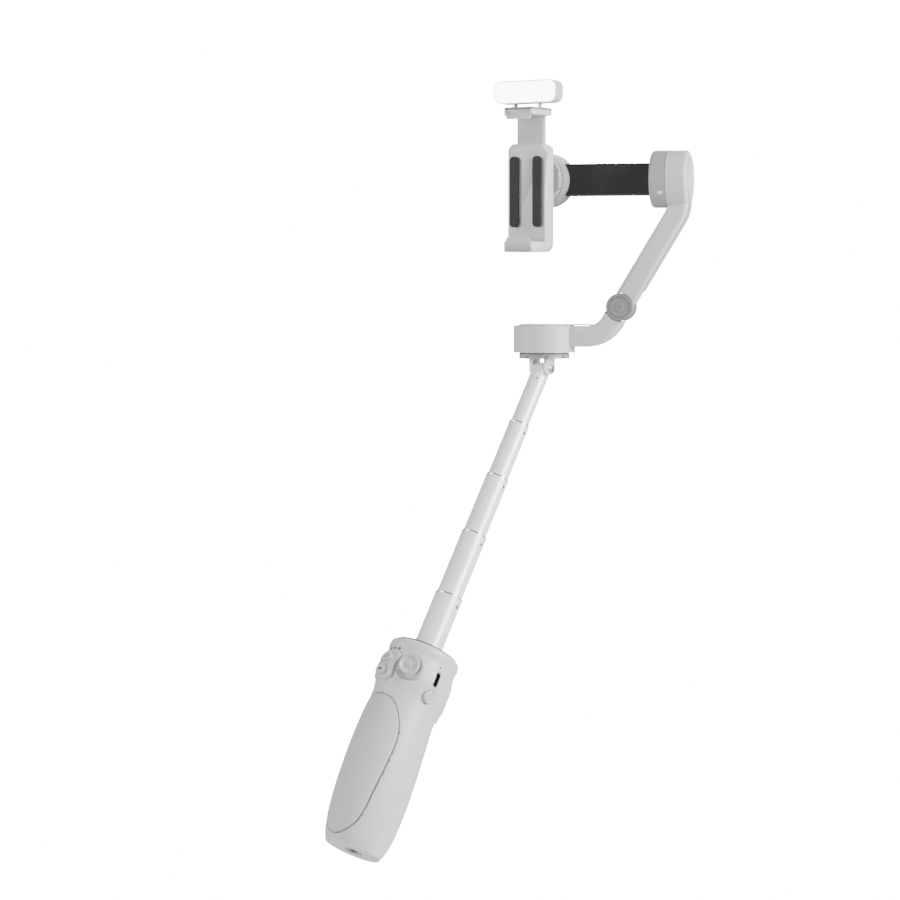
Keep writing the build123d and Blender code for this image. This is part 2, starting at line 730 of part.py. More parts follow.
# =========================================================================================
# Arm frame: origin where the motor axes meet, x out along the tilt axis, z up the pan axis
# =========================================================================================
rise = radians(arm_rise)
half_arm = arm_thickness / 2
lower_top = pan_top - lower_arm_drop
lower_bottom = lower_top - arm_thickness
outer_side = (fold_x + half_arm * cos(rise), fold_z - half_arm * sin(rise))
inner_side = (fold_x - half_arm * cos(rise), fold_z + half_arm * sin(rise))


def on_slope(point, z):
    """Where the sloping line of the arm through a point crosses a height."""
    return (point[0] + (z - point[1]) * tan(rise), z)


def on_slope_x(point, x):
    """Where the sloping line of the arm through a point crosses a distance out."""
    return (x, point[1] + (x - point[0]) / tan(rise))


def arm_bar(outer, outer_radius, inner, inner_radius):
    """A bent arm between two edge lines, its long edges rounded, ending clear of the fold joint."""
    with BuildPart() as bar:
        with BuildSketch(Plane.XZ):
            with BuildLine():
                FilletPolyline(*outer, radius=outer_radius)
                FilletPolyline(*inner, radius=inner_radius)
                Line(outer[0], inner[0])
                Line(outer[-1], inner[-1])
            make_face()
        extrude(amount=arm_depth / 2, both=True)
        faces = bar.faces().sort_by(Axis.Y)
        fillet(faces[0].edges() + faces[-1].edges(), arm_edge)
        with BuildSketch(Plane.XZ):
            with Locations((fold_x, fold_z)):
                Circle(fold_radius + part_gap)
        extrude(amount=arm_depth, both=True, mode=Mode.SUBTRACT)
    return bar.part


lower_bar = arm_bar(
    [(0, lower_bottom), on_slope(outer_side, lower_bottom), outer_side], 26,
    [(0, lower_top), on_slope(inner_side, lower_top), inner_side], 12,
)
with BuildPart() as lower_arm:
    # the motor's cup over the root of the arm
    with BuildSketch(Plane.XY.offset(pan_bottom)):
        Circle(pan_radius)
    extrude(amount=pan_top - pan_bottom)
    fillet(lower_arm.edges().group_by(Axis.Z)[-1], 1.6)
    add(lower_bar)
    with BuildSketch(Plane.XY.offset(pan_bottom)):
        Circle(pan_radius - pan_wall)
    extrude(amount=pan_top - pan_wall - pan_bottom, mode=Mode.SUBTRACT)
    # the bearing's seat
    with BuildSketch(Plane.XY.offset(bearing_bottom)):
        Circle(pan_shaft_radius + bearing_ring + 1.4)
        Circle(pan_shaft_radius + bearing_ring, mode=Mode.SUBTRACT)
    extrude(amount=pan_top - pan_wall - bearing_bottom)
    # socket for the fold joint's tenon
    with BuildSketch(Plane(origin=(fold_x, 0, fold_z), x_dir=(0, 1, 0), z_dir=(-sin(rise), 0, -cos(rise)))):
        Rectangle(fold_web, 7.0)
    extrude(amount=fold_radius + fold_tenon, mode=Mode.SUBTRACT)
lower_arm.part.label = "lower_arm"
pieces.append(("arm", lower_arm.part))

with BuildPart() as pan_top_inlay:
    with BuildSketch(Plane.XY.offset(pan_top)):
        Circle(pan_radius - 3.6)
        with Locations((13.5, 0)):
            SlotOverall(45, inlay_width)
    extrude(amount=top_inlay_thickness)
    add(lower_arm.part, mode=Mode.SUBTRACT)
pan_top_inlay.part.label = "pan_top_inlay"
pieces.append(("arm", pan_top_inlay.part))

with BuildPart() as pan_bearing:
    with BuildSketch(Plane.XY.offset(bearing_bottom)):
        Circle(pan_shaft_radius + bearing_ring)
        Circle(pan_shaft_radius + running, mode=Mode.SUBTRACT)
    extrude(amount=bearing_height)
pan_bearing.part.label = "pan_bearing"
pieces.append(("arm", pan_bearing.part))

magnet_thickness = 1.2
with BuildPart() as pan_magnets:
    with BuildSketch(Plane.XY.offset(pan_bottom + 1.6)):
        Circle(pan_radius - pan_wall)
        Circle(pan_radius - pan_wall - magnet_thickness, mode=Mode.SUBTRACT)
        with PolarLocations(pan_radius - pan_wall - magnet_thickness / 2, 14):
            Rectangle(2.4, 0.6, mode=Mode.SUBTRACT)
    extrude(amount=bearing_bottom - 1.0 - pan_bottom - 1.6)
pan_magnets.part.label = "pan_magnets"
pieces.append(("arm", pan_magnets.part))


tenon_plane = Plane(origin=(fold_x, 0, fold_z), x_dir=(0, 1, 0), z_dir=(-sin(rise), 0, -cos(rise)))
with BuildPart() as outer_knuckle:
    with BuildSketch(Plane.XZ):
        with Locations((fold_x, fold_z)):
            Circle(fold_radius)
    extrude(amount=arm_depth / 2, both=True)
    fillet(outer_knuckle.edges().filter_by(GeomType.CIRCLE), 0.5)
    with BuildSketch(tenon_plane.offset(fold_radius - 2)):
        Rectangle(fold_web, 7.0)
    extrude(amount=2 + fold_tenon)
    # room for the middle knuckle, whose arm swings round the outer side
    with BuildSketch(Plane.XZ):
        with Locations((fold_x, fold_z)):
            Circle(fold_radius + 0.2)
    extrude(amount=middle_knuckle_width / 2 + part_gap / 3, both=True, mode=Mode.SUBTRACT)
    with BuildSketch(tenon_plane.offset(fold_radius + 0.2)):
        Rectangle(fold_web, 7.0)
    extrude(amount=fold_tenon - 0.2)
    with BuildSketch(Plane.XZ.offset(-arm_depth / 2)):
        with Locations((fold_x, fold_z)):
            Circle(fold_pin_radius)
    extrude(amount=arm_depth - 1.6, mode=Mode.SUBTRACT)
outer_knuckle.part.label = "outer_knuckle"
pieces.append(("arm", outer_knuckle.part))

with BuildPart() as fold_pin:
    with BuildSketch(Plane.XZ.offset(-arm_depth / 2)):
        with Locations((fold_x, fold_z)):
            Circle(fold_pin_radius)
    extrude(amount=arm_depth - 1.6)
fold_pin.part.label = "fold_pin"
pieces.append(("arm", fold_pin.part))

swing_plane = Plane(origin=(fold_x, 0, fold_z), x_dir=(0, 1, 0), z_dir=(sin(rise), 0, cos(rise)))
middle_radius = fold_radius - 0.3
with BuildPart() as middle_knuckle:
    with BuildSketch(Plane.XZ):
        with Locations((fold_x, fold_z)):
            Circle(middle_radius)
    extrude(amount=middle_knuckle_width / 2, both=True)
    with BuildSketch(swing_plane.offset(middle_radius - 1)):
        Rectangle(middle_knuckle_width, 7.0)
    extrude(amount=1 + fold_tenon)
    with BuildSketch(Plane.XZ):
        with Locations((fold_x, fold_z)):
            Circle(fold_pin_radius + running)
    extrude(amount=middle_knuckle_width, both=True, mode=Mode.SUBTRACT)
middle_knuckle.part.label = "middle_knuckle"
pieces.append(("arm", middle_knuckle.part))

# The inlay down the outside of the arm: a disc over the motor and a strip round the bend
inlay_end = -70.0
cup_face = tilt_seam + part_gap / 2
strip_out = (outer_side[0] + inlay_proud * cos(rise), outer_side[1] - inlay_proud * sin(rise))
strip_in = (outer_side[0] - inlay_depth * cos(rise), outer_side[1] + inlay_depth * sin(rise))
with BuildPart() as arm_inlay:
    with BuildSketch(Plane.XZ):
        with BuildLine():
            FilletPolyline(on_slope(strip_out, inlay_end), on_slope_x(strip_out, tilt_outer + inlay_proud),
                           (tilt_outer + inlay_proud, 0), radius=24 + inlay_proud)
            FilletPolyline(on_slope(strip_in, inlay_end), on_slope_x(strip_in, tilt_outer - inlay_depth),
                           (tilt_outer - inlay_depth, 0), radius=24 - inlay_depth)
            Line(on_slope(strip_out, inlay_end), on_slope(strip_in, inlay_end))
            Line((tilt_outer + inlay_proud, 0), (tilt_outer - inlay_depth, 0))
        make_face()
    extrude(amount=inlay_width / 2, both=True)
    with BuildSketch(Plane.YZ.offset(tilt_outer - inlay_depth)):
        Circle(tilt_cap_radius)
    extrude(amount=inlay_depth + inlay_proud)
arm_inlay.part.label = "arm_inlay"
pieces.append(("arm", arm_inlay.part))

upper_bar = arm_bar(
    [outer_side, on_slope_x(outer_side, tilt_outer), (tilt_outer, 4)], 24,
    [inner_side, on_slope_x(inner_side, cup_face), (cup_face, 4)], 14,
)
with BuildPart() as upper_arm:
    with BuildSketch(Plane.YZ.offset(cup_face)):
        Circle(tilt_radius)
    extrude(amount=tilt_outer - cup_face)
    fillet(upper_arm.edges().group_by(Axis.X)[-1], 2.6)
    add(upper_bar)
    with BuildSketch(Plane.YZ.offset(rotor_face)):
        Circle(tilt_radius + part_gap)
    extrude(amount=cup_face - rotor_face, mode=Mode.SUBTRACT)
    with BuildSketch(Plane.YZ.offset(cup_face)):
        Circle(tilt_radius - motor_wall)
    extrude(amount=tilt_outer - motor_wall - 1.0 - cup_face, mode=Mode.SUBTRACT)
    # the bearing's seat, reaching into the rotor
    with BuildSketch(Plane.YZ.offset(tilt_seam - 6.0)):
        Circle(motor_shaft_radius + 3.4)
        Circle(motor_shaft_radius + 2.2, mode=Mode.SUBTRACT)
    extrude(amount=tilt_outer - motor_wall - 1.0 - tilt_seam + 6.0)
    with BuildSketch(swing_plane):
        Rectangle(middle_knuckle_width, 7.0)
    extrude(amount=middle_radius + fold_tenon, mode=Mode.SUBTRACT)
    add(arm_inlay.part, mode=Mode.SUBTRACT)
upper_arm.part.label = "upper_arm"
pieces.append(("arm", upper_arm.part))

with BuildPart() as tilt_bearing:
    with BuildSketch(Plane.YZ.offset(tilt_seam - 6.0)):
        Circle(motor_shaft_radius + 2.2)
        Circle(motor_shaft_radius + running, mode=Mode.SUBTRACT)
    extrude(amount=7.0)
tilt_bearing.part.label = "tilt_bearing"
pieces.append(("arm", tilt_bearing.part))

with BuildPart() as tilt_stator:
    with BuildSketch(Plane.YZ.offset(tilt_seam - 5.6)):
        Circle(motor_shaft_radius + 5.4)
        with PolarLocations(11.0, 12):
            Rectangle(7.0, 1.8)
        with PolarLocations(14.5, 12):
            Rectangle(1.8, 4.6)
        Circle(motor_shaft_radius + 3.4, mode=Mode.SUBTRACT)
    extrude(amount=7.0)
tilt_stator.part.label = "tilt_stator"
pieces.append(("arm", tilt_stator.part))

with BuildPart() as tilt_rotor:
    with BuildSketch(Plane.YZ.offset(rotor_face)):
        Circle(tilt_radius)
    extrude(amount=tilt_seam - part_gap / 2 - rotor_face)
    fillet(tilt_rotor.edges().group_by(Axis.X)[0], 2.2)
    with BuildSketch(Plane.YZ.offset(rotor_face + 3.0)):
        Circle(tilt_radius - motor_wall)
    extrude(amount=tilt_seam - rotor_face, mode=Mode.SUBTRACT)
    with BuildSketch(Plane.YZ.offset(rotor_face + 2.5)):
        Circle(motor_shaft_radius)
    extrude(amount=tilt_seam + 8.0 - rotor_face - 2.5)
tilt_rotor.part.label = "tilt_rotor"
pieces.append(("arm", tilt_rotor.part))


# =========================================================================================
# Clamp frame
# =========================================================================================
tilt_line = Plane(origin=(0, 0, 0), x_dir=(-sin(radians(arm_turn)), cos(radians(arm_turn)), 0),
                  z_dir=(cos(radians(arm_turn)), sin(radians(arm_turn)), 0))
with BuildPart() as roll_housing:
    with BuildSketch(Plane.XZ.offset(-roll_front)):
        Circle(roll_radius)
    extrude(amount=-(roll_back - roll_front))
    fillet(roll_housing.edges().group_by(Axis.Y)[-1], 2.4)
    with BuildSketch(Plane.XZ.offset(-roll_front)):
        Circle(roll_radius - motor_wall)
        Circle(motor_shaft_radius + 3.4, mode=Mode.SUBTRACT)
    extrude(amount=-(roll_back - roll_front - motor_wall), mode=Mode.SUBTRACT)
    with BuildSketch(Plane.XZ.offset(-roll_front)):
        Circle(motor_shaft_radius + running)
    extrude(amount=-(roll_back - roll_front - motor_wall), mode=Mode.SUBTRACT)
roll_housing.part.label = "roll_housing"
pieces.append(("clamp", roll_housing.part))

with BuildPart() as tilt_bracket:
    with BuildSketch(tilt_line):
        RectangleRounded(bracket_thickness, bracket_height, 2.0)
    extrude(amount=rotor_face)
    with BuildSketch(Plane.XZ.offset(-roll_front + 10)):
        Circle(roll_radius)
    extrude(amount=-60, mode=Mode.SUBTRACT)
tilt_bracket.part.label = "tilt_bracket"
pieces.append(("clamp", tilt_bracket.part))

with BuildPart() as roll_stator:
    with BuildSketch(Plane.XZ.offset(-roll_front - 1.6)):
        Circle(motor_shaft_radius + 5.2)
        with PolarLocations(10.4, 12):
            Rectangle(7.0, 1.8)
        with PolarLocations(13.7, 12):
            Rectangle(1.8, 4.2)
        Circle(motor_shaft_radius + 3.4, mode=Mode.SUBTRACT)
    extrude(amount=-10.0)
roll_stator.part.label = "roll_stator"
pieces.append(("clamp", roll_stator.part))

with BuildPart() as roll_rotor:
    with BuildSketch(Plane.XZ.offset(-plate_back)):
        Circle(roll_radius)
    extrude(amount=-(roll_front - part_gap - plate_back))
    fillet(roll_rotor.edges().group_by(Axis.Y)[-1], 1.0)
    with BuildSketch(Plane.XZ.offset(-roll_front)):
        Circle(motor_shaft_radius)
    extrude(amount=-(roll_back - roll_front - motor_wall - 1.5))
    with BuildSketch(Plane.XZ.offset(-roll_front + part_gap)):
        Circle(motor_shaft_radius)
    extrude(amount=-part_gap)
roll_rotor.part.label = "roll_rotor"
pieces.append(("clamp", roll_rotor.part))

half_phone = phone_height / 2
lower_top_z = -half_phone - 0.2
lower_bottom_z = lower_top_z - lower_jaw_thickness
lip_back = phone_front - 0.3
lip_front = lip_back - lip_thickness
pocket_front = -20.6
pocket_clear = 0.3
tongue_front = pocket_front + pocket_clear
tongue_back = tongue_front + jaw_tongue_thickness


def jaw(back, inner, outer, lip_reach=None):
    """A shelf under or over the phone, narrower in front, with a lip turned round the phone."""
    with BuildPart() as body:
        with BuildSketch(Plane.XY.offset(min(inner, outer))):
            with BuildLine():
                Polyline(
                    (-clamp_width / 2, back),
                    (-clamp_width / 2, plate_front - 2),
                    (-lip_width / 2 - 2.2, lip_front + 1.2),
                    (-lip_width / 2 - 1.0, lip_front),
                    (lip_width / 2 + 1.0, lip_front),
                    (lip_width / 2 + 2.2, lip_front + 1.2),
                    (clamp_width / 2, plate_front - 2),
                    (clamp_width / 2, back),
                    close=True,
                )
            make_face()
        extrude(amount=abs(outer - inner))
        fillet(body.edges().filter_by(Axis.Z).group_by(Axis.Y)[0], 0.9)
        if lip_reach is not None:
            with BuildSketch(Plane.XZ.offset(-lip_back)):
                with BuildLine():
                    Polyline(
                        (-lip_width / 2 - 0.8, inner),
                        (lip_width / 2 + 0.8, inner),
                        (lip_width / 2 - 0.4, lip_reach),
                        (-lip_width / 2 + 0.4, lip_reach),
                        close=True,
                    )
                make_face()
            extrude(amount=lip_thickness)
    return body.part


with BuildPart() as clamp_plate:
    with BuildSketch(Plane.XZ.offset(-plate_front)):
        with Locations((0, (plate_top + lower_bottom_z) / 2)):
            RectangleRounded(clamp_width, plate_top - lower_bottom_z, 5.0)
    extrude(amount=-(plate_back - plate_front))
    add(jaw(plate_front + 3, lower_top_z, lower_bottom_z, -half_phone + lip_overlap))
    # the pocket that the upper jaw's tongue slides in
    with BuildSketch(Plane.XY.offset(pocket_bottom)):
        with Locations((0, pocket_front + jaw_tongue_thickness / 2 + pocket_clear)):
            Rectangle(jaw_tongue_width + 2 * pocket_clear, jaw_tongue_thickness + 2 * pocket_clear)
    extrude(amount=plate_top - pocket_bottom + 1, mode=Mode.SUBTRACT)
clamp_plate.part.label = "clamp_plate"
pieces.append(("clamp", clamp_plate.part))

upper_bottom_z = half_phone + 0.2
upper_top_z = upper_bottom_z + jaw_thickness
slot_half = spring_radius + 0.5
spring_top = 14.0
spring_y = (tongue_front + tongue_back) / 2
with BuildPart() as upper_jaw:
    add(jaw(tongue_back, upper_bottom_z, upper_top_z - jaw_cover_thickness, half_phone - lip_overlap))
    with BuildSketch(Plane.XY.offset(jaw_tongue_bottom)):
        with Locations((0, spring_y)):
            Rectangle(jaw_tongue_width, jaw_tongue_thickness)
    extrude(amount=upper_bottom_z - jaw_tongue_bottom)
    with BuildSketch(Plane.XY.offset(jaw_tongue_bottom)):
        with Locations((0, spring_y)):
            Rectangle(2 * slot_half, jaw_tongue_thickness)
    extrude(amount=spring_top + 0.5 - jaw_tongue_bottom, mode=Mode.SUBTRACT)
upper_jaw.part.label = "upper_jaw"
pieces.append(("clamp", upper_jaw.part))

with BuildPart() as jaw_cover:
    add(jaw(tongue_back, upper_top_z - jaw_cover_thickness, upper_top_z))
    fillet(jaw_cover.edges().group_by(Axis.Z)[-1], 0.7)
jaw_cover.part.label = "jaw_cover"
pieces.append(("clamp", jaw_cover.part))

with BuildPart() as clamp_pads:
    with BuildSketch(Plane.XZ.offset(-plate_front)):
        with Locations((-8, -8), (8, -8)):
            RectangleRounded(6, 44, 2.5)
    extrude(amount=pad_thickness - 0.2)
    with BuildSketch(Plane.XY.offset(lower_top_z)):
        with Locations((0, (lip_back + plate_front) / 2)):
            RectangleRounded(14, 7, 2.5)
    extrude(amount=0.15)
clamp_pads.part.label = "clamp_pads"
pieces.append(("clamp", clamp_pads.part))

coil_radius = spring_radius - spring_wire
coil_bottom = pocket_bottom + spring_wire + 0.1
coil_height = spring_top - spring_wire - coil_bottom
with BuildPart() as clamp_spring:
    with BuildLine():
        Helix(pitch=coil_height / spring_turns, height=coil_height, radius=coil_radius,
              center=(0, spring_y, coil_bottom))
    with BuildSketch(Plane(origin=(coil_radius, spring_y, coil_bottom), x_dir=(1, 0, 0), z_dir=(0, 1, 0))):
        Circle(spring_wire)
    sweep(is_frenet=True)
clamp_spring.part.label = "clamp_spring"
pieces.append(("clamp", clamp_spring.part))

# ---- Fill light on two contact feet -----------------------------------------------------
light_bottom = upper_top_z + foot_height
light_middle = light_bottom + light_height / 2
diffuser_depth = 1.6
with BuildPart() as light_housing:
    with BuildSketch(Plane.XZ.offset(-light_front)):
        with Locations((0, light_middle)):
            RectangleRounded(light_width, light_height, light_corner)
    extrude(amount=-light_depth)
    fillet(light_housing.edges().group_by(Axis.Y)[-1], 1.6)
    with BuildSketch(Plane.XZ.offset(-light_front)):
        with Locations((0, light_middle)):
            RectangleRounded(light_width - 1.4, light_height - 1.4, light_corner - 0.7)
    extrude(amount=-(light_depth - 1.6), mode=Mode.SUBTRACT)
light_housing.part.label = "light_housing"
pieces.append(("clamp", light_housing.part))

with BuildPart() as light_diffuser:
    with BuildSketch(Plane.XZ.offset(-light_front)):
        with Locations((0, light_middle)):
            RectangleRounded(light_width - 1.4, light_height - 1.4, light_corner - 0.7)
    extrude(amount=-diffuser_depth)
    with BuildSketch(Plane.XZ.offset(-light_front)):
        with Locations((0, light_middle)):
            RectangleRounded(light_width - 1.4, light_height - 1.4, light_corner - 0.7)
    extrude(amount=0.8)
    fillet(light_diffuser.edges().group_by(Axis.Y)[0], 0.7)
light_diffuser.part.label = "light_diffuser"
pieces.append(("clamp", light_diffuser.part))

with BuildPart() as light_board:
    with BuildSketch(Plane.XZ.offset(-light_front - light_depth + 1.6 + 1.2)):
        with Locations((0, light_middle)):
            RectangleRounded(light_width - 1.6, light_height - 1.6, light_corner - 0.8)
    extrude(amount=-1.2)
    with BuildSketch(Plane.XZ.offset(-light_front - light_depth + 1.6 + 1.2)):
        with Locations((0, light_middle)):
            with GridLocations(5.0, 5.0, 7, 2):
                Rectangle(2.8, 2.8)
    extrude(amount=0.8)
light_board.part.label = "light_board"
pieces.append(("clamp", light_board.part))

with BuildPart() as light_feet:
    with BuildSketch(Plane.XY.offset(upper_top_z)):
        with Locations((-foot_spacing / 2, light_front + 4), (foot_spacing / 2, light_front + 4)):
            Circle(foot_radius)
    extrude(amount=foot_height)
light_feet.part.label = "light_feet"
pieces.append(("clamp", light_feet.part))


# =========================================================================================
# Rigid places of the four frames, and the files
# =========================================================================================
handle_place = Rot(0, 0, handle_turn) * Rot(-rod_lean, 0, 0) * Pos(0, -thread_y, 0)
pin_place = handle_place * Pos(0, 0, pin_height)
yoke_place = Pos(*pin_place.position) * Rot(0, 0, handle_turn) * Pos(0, pin_forward, pin_below_axes)
arm_place = Pos(*yoke_place.position) * Rot(0, 0, arm_turn)
clamp_place = Pos(*yoke_place.position)
stick_place = handle_place * stick.location
places = {
    "handle": handle_place,
    "stick": stick_place,
    "yoke": yoke_place,
    "arm": arm_place,
    "clamp": clamp_place,
}

os.makedirs("parts", exist_ok=True)
for frame, piece in pieces:
    export_step(piece.moved(places[frame]), f"parts/{piece.label}.step")
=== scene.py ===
# %% [markdown]
# # A phone gimbal on a telescoping rod
# The CAD model gives every part its shape and place. This lesson gives each part its finish: satin
# moulded plastic, bright drawn tube, copper windings, a glowing lamp. It also adds the small
# details that are easier to model by hand than to draw in CAD, such as key marks, screw heads and
# the rings round the joystick. The first cell loads the model and keeps its box, which places the lamps and
# the floor.

# %% Load the frame
import json
import math

import bpy
from mathutils import Matrix, Vector

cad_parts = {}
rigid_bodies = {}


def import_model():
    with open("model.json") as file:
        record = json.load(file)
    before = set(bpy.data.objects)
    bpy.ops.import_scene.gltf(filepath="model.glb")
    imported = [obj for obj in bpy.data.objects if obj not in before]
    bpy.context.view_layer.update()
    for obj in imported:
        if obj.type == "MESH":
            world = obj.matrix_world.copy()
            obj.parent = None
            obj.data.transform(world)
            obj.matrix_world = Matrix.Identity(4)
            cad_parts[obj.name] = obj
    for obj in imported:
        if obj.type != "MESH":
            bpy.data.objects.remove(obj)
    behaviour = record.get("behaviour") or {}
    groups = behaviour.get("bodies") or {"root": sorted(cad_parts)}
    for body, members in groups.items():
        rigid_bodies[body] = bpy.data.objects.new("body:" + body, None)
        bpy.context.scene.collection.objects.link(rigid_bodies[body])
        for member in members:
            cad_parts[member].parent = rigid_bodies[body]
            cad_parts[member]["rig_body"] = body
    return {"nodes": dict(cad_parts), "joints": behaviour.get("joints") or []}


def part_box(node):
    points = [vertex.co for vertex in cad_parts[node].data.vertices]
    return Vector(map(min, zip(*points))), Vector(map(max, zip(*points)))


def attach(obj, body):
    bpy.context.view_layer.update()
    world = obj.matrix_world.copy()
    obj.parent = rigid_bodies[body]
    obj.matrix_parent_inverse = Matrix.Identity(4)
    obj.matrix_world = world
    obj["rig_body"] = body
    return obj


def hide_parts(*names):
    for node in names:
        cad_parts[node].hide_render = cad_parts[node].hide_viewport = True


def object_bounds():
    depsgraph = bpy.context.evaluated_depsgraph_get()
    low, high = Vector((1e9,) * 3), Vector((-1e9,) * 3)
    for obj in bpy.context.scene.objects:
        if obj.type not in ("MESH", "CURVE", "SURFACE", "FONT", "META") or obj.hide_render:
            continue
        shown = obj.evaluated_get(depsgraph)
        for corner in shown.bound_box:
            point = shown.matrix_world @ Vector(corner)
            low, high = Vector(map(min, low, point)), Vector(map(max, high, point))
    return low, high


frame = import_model()
cad_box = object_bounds()
nodes = frame["nodes"]
joints = {joint["name"]: joint for joint in frame["joints"]}
MM = 0.001
print("loaded", len(nodes), "parts", "box", cad_box)

# %% [markdown]
# Two sets of directions place everything else. The handle leans, so its own axes come from the
# rod's slide and the head's hinge. The arm stands turned about the upright pan axis, so its axes
# come from the tilt motor. Reading them from the joints keeps the details right if a pose changes.

# %% Directions of the handle and of the arm


def frame_matrix(origin, x_axis, z_axis):
    """A matrix whose x and z run along two square directions."""
    x_axis = Vector(x_axis).normalized()
    z_axis = Vector(z_axis).normalized()
    turned = Matrix((x_axis, z_axis.cross(x_axis), z_axis)).transposed()
    return Matrix.Translation(origin) @ turned.to_4x4()


def middle_of(part):
    """The middle of a part's box."""
    low, high = (Vector(corner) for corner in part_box(part))
    return (low + high) / 2


rod_axis = Vector(joints["slide_a"]["axis"])
pin = Vector(joints["head_hinge"]["pos_m"])
handle_frame = frame_matrix(pin - rod_axis * pin.dot(rod_axis), joints["head_hinge"]["axis"], rod_axis)
pin_height = pin.dot(rod_axis)
tilt_axis = Vector(joints["tilt"]["axis"])
roll_point = Vector(joints["roll"]["pos_m"])
arm_centre = Vector((roll_point.x, Vector(joints["pan"]["pos_m"]).y, roll_point.z))
arm_frame = frame_matrix(arm_centre, tilt_axis, (0, 0, 1))
handle_top = (handle_frame.inverted() @ middle_of("top_ring")).z
print("pin height", round(pin_height, 4), "ring height", round(handle_top, 4))

# %% [markdown]
# The camera looks slightly down from the right with a long lens, so that the leaning rod and the
# level clamp both read clearly. A long lens keeps the handle and the head at nearly one scale.

# %% Camera
camera_data = bpy.data.cameras.new("camera")
camera_data.lens = 100
camera_data.sensor_width = 36
camera_data.clip_start, camera_data.clip_end = 0.05, 60
camera = bpy.data.objects.new("camera", camera_data)
bpy.context.scene.collection.objects.link(camera)
camera.location = (0.76691, -1.25079, 0.32835)
camera_turn, camera_dip = 29.27, 3.506
camera.rotation_euler = (math.radians(90 - camera_dip), 0, math.radians(camera_turn))
bpy.context.scene.camera = camera

# %% [markdown]
# A pale object on white is lit mostly by large lamps at its sides, so that each rounded part falls
# off to grey in its middle and stays apart from the background. The surround looks white to the
# camera but lights the object only a little: the Light Path node tells the two kinds of ray apart.
# A lamp from behind lifts the edges. The floor is a pale disc that lies well below the handle.

# %% Studio


def soft_lamp(name, place, aim, size, power):
    """A square area lamp at a place, turned to an aim point."""
    lamp_data = bpy.data.lights.new(name, "AREA")
    lamp_data.size = size
    lamp_data.energy = power
    lamp = bpy.data.objects.new(name, lamp_data)
    lamp.location = place
    lamp.rotation_euler = (Vector(aim) - Vector(place)).to_track_quat("-Z", "Y").to_euler()
    bpy.context.scene.collection.objects.link(lamp)
    return lamp


middle = (cad_box[0] + cad_box[1]) / 2
soft_lamp("left_lamp", middle + Vector((-1.15, -1.2, 0.5)), middle, 1.0, 34)
soft_lamp("right_lamp", middle + Vector((1.55, 0.1, 0.55)), middle, 1.0, 84)
soft_lamp("back_lamp", middle + Vector((-0.6, 1.5, 0.6)), middle, 1.2, 24)

world = bpy.data.worlds.new("pale_room")
world.use_nodes = True
bpy.context.scene.world = world
room = world.node_tree.nodes["Background"]
room.inputs["Color"].default_value = (1.0, 1.0, 1.0, 1)
room.inputs["Strength"].default_value = 0.24
seen = world.node_tree.nodes.new("ShaderNodeBackground")
seen.inputs["Color"].default_value = (1.0, 1.0, 1.0, 1)
seen.inputs["Strength"].default_value = 18.0
ray = world.node_tree.nodes.new("ShaderNodeLightPath")
either = world.node_tree.nodes.new("ShaderNodeMixShader")
world.node_tree.links.new(ray.outputs["Is Camera Ray"], either.inputs[0])
world.node_tree.links.new(room.outputs[0], either.inputs[1])
world.node_tree.links.new(seen.outputs[0], either.inputs[2])
world.node_tree.links.new(either.outputs[0], world.node_tree.nodes["World Output"].inputs["Surface"])

bpy.ops.object.select_all(action="DESELECT")
bpy.ops.mesh.primitive_circle_add(vertices=96, radius=1.5, fill_type="NGON",
                                  location=(middle.x, middle.y, cad_box[0].z - 0.6))
floor = bpy.context.object
floor.name = "floor"

# %% [markdown]
# ## Shared effects
# Moulded plastic is never one flat value: its surface has a fine spark-eroded grain, and its
# colour and gloss drift slightly over a hand's width. Both are noise, so they live in one node
# group that puts out a colour, a roughness and a normal, and each plastic sets its own amounts.

# %% Node group for moulded grain


def new_group(name, inputs, outputs):
    """A shader node group with float or colour inputs and named outputs."""
    group = bpy.data.node_groups.new(name, "ShaderNodeTree")
    for label, kind, value in inputs:
        socket = group.interface.new_socket(label, in_out="INPUT", socket_type=kind)
        socket.default_value = value
    for label, kind in outputs:
        group.interface.new_socket(label, in_out="OUTPUT", socket_type=kind)
    return group, group.nodes.new("NodeGroupInput"), group.nodes.new("NodeGroupOutput")


def noise_in(tree, scale, detail, source):
    """A noise texture read from a vector socket."""
    noise = tree.nodes.new("ShaderNodeTexNoise")
    noise.inputs["Scale"].default_value = scale
    noise.inputs["Detail"].default_value = detail
    tree.links.new(source, noise.inputs["Vector"])
    return noise


def spread(tree, value, low, high):
    """A 0 to 1 value spread over a range of its own."""
    ranged = tree.nodes.new("ShaderNodeMapRange")
    tree.links.new(value, ranged.inputs["Value"])
    for name, bound in (("To Min", low), ("To Max", high)):
        if isinstance(bound, (int, float)):
            ranged.inputs[name].default_value = bound
        else:
            tree.links.new(bound, ranged.inputs[name])
    return ranged.outputs["Result"]


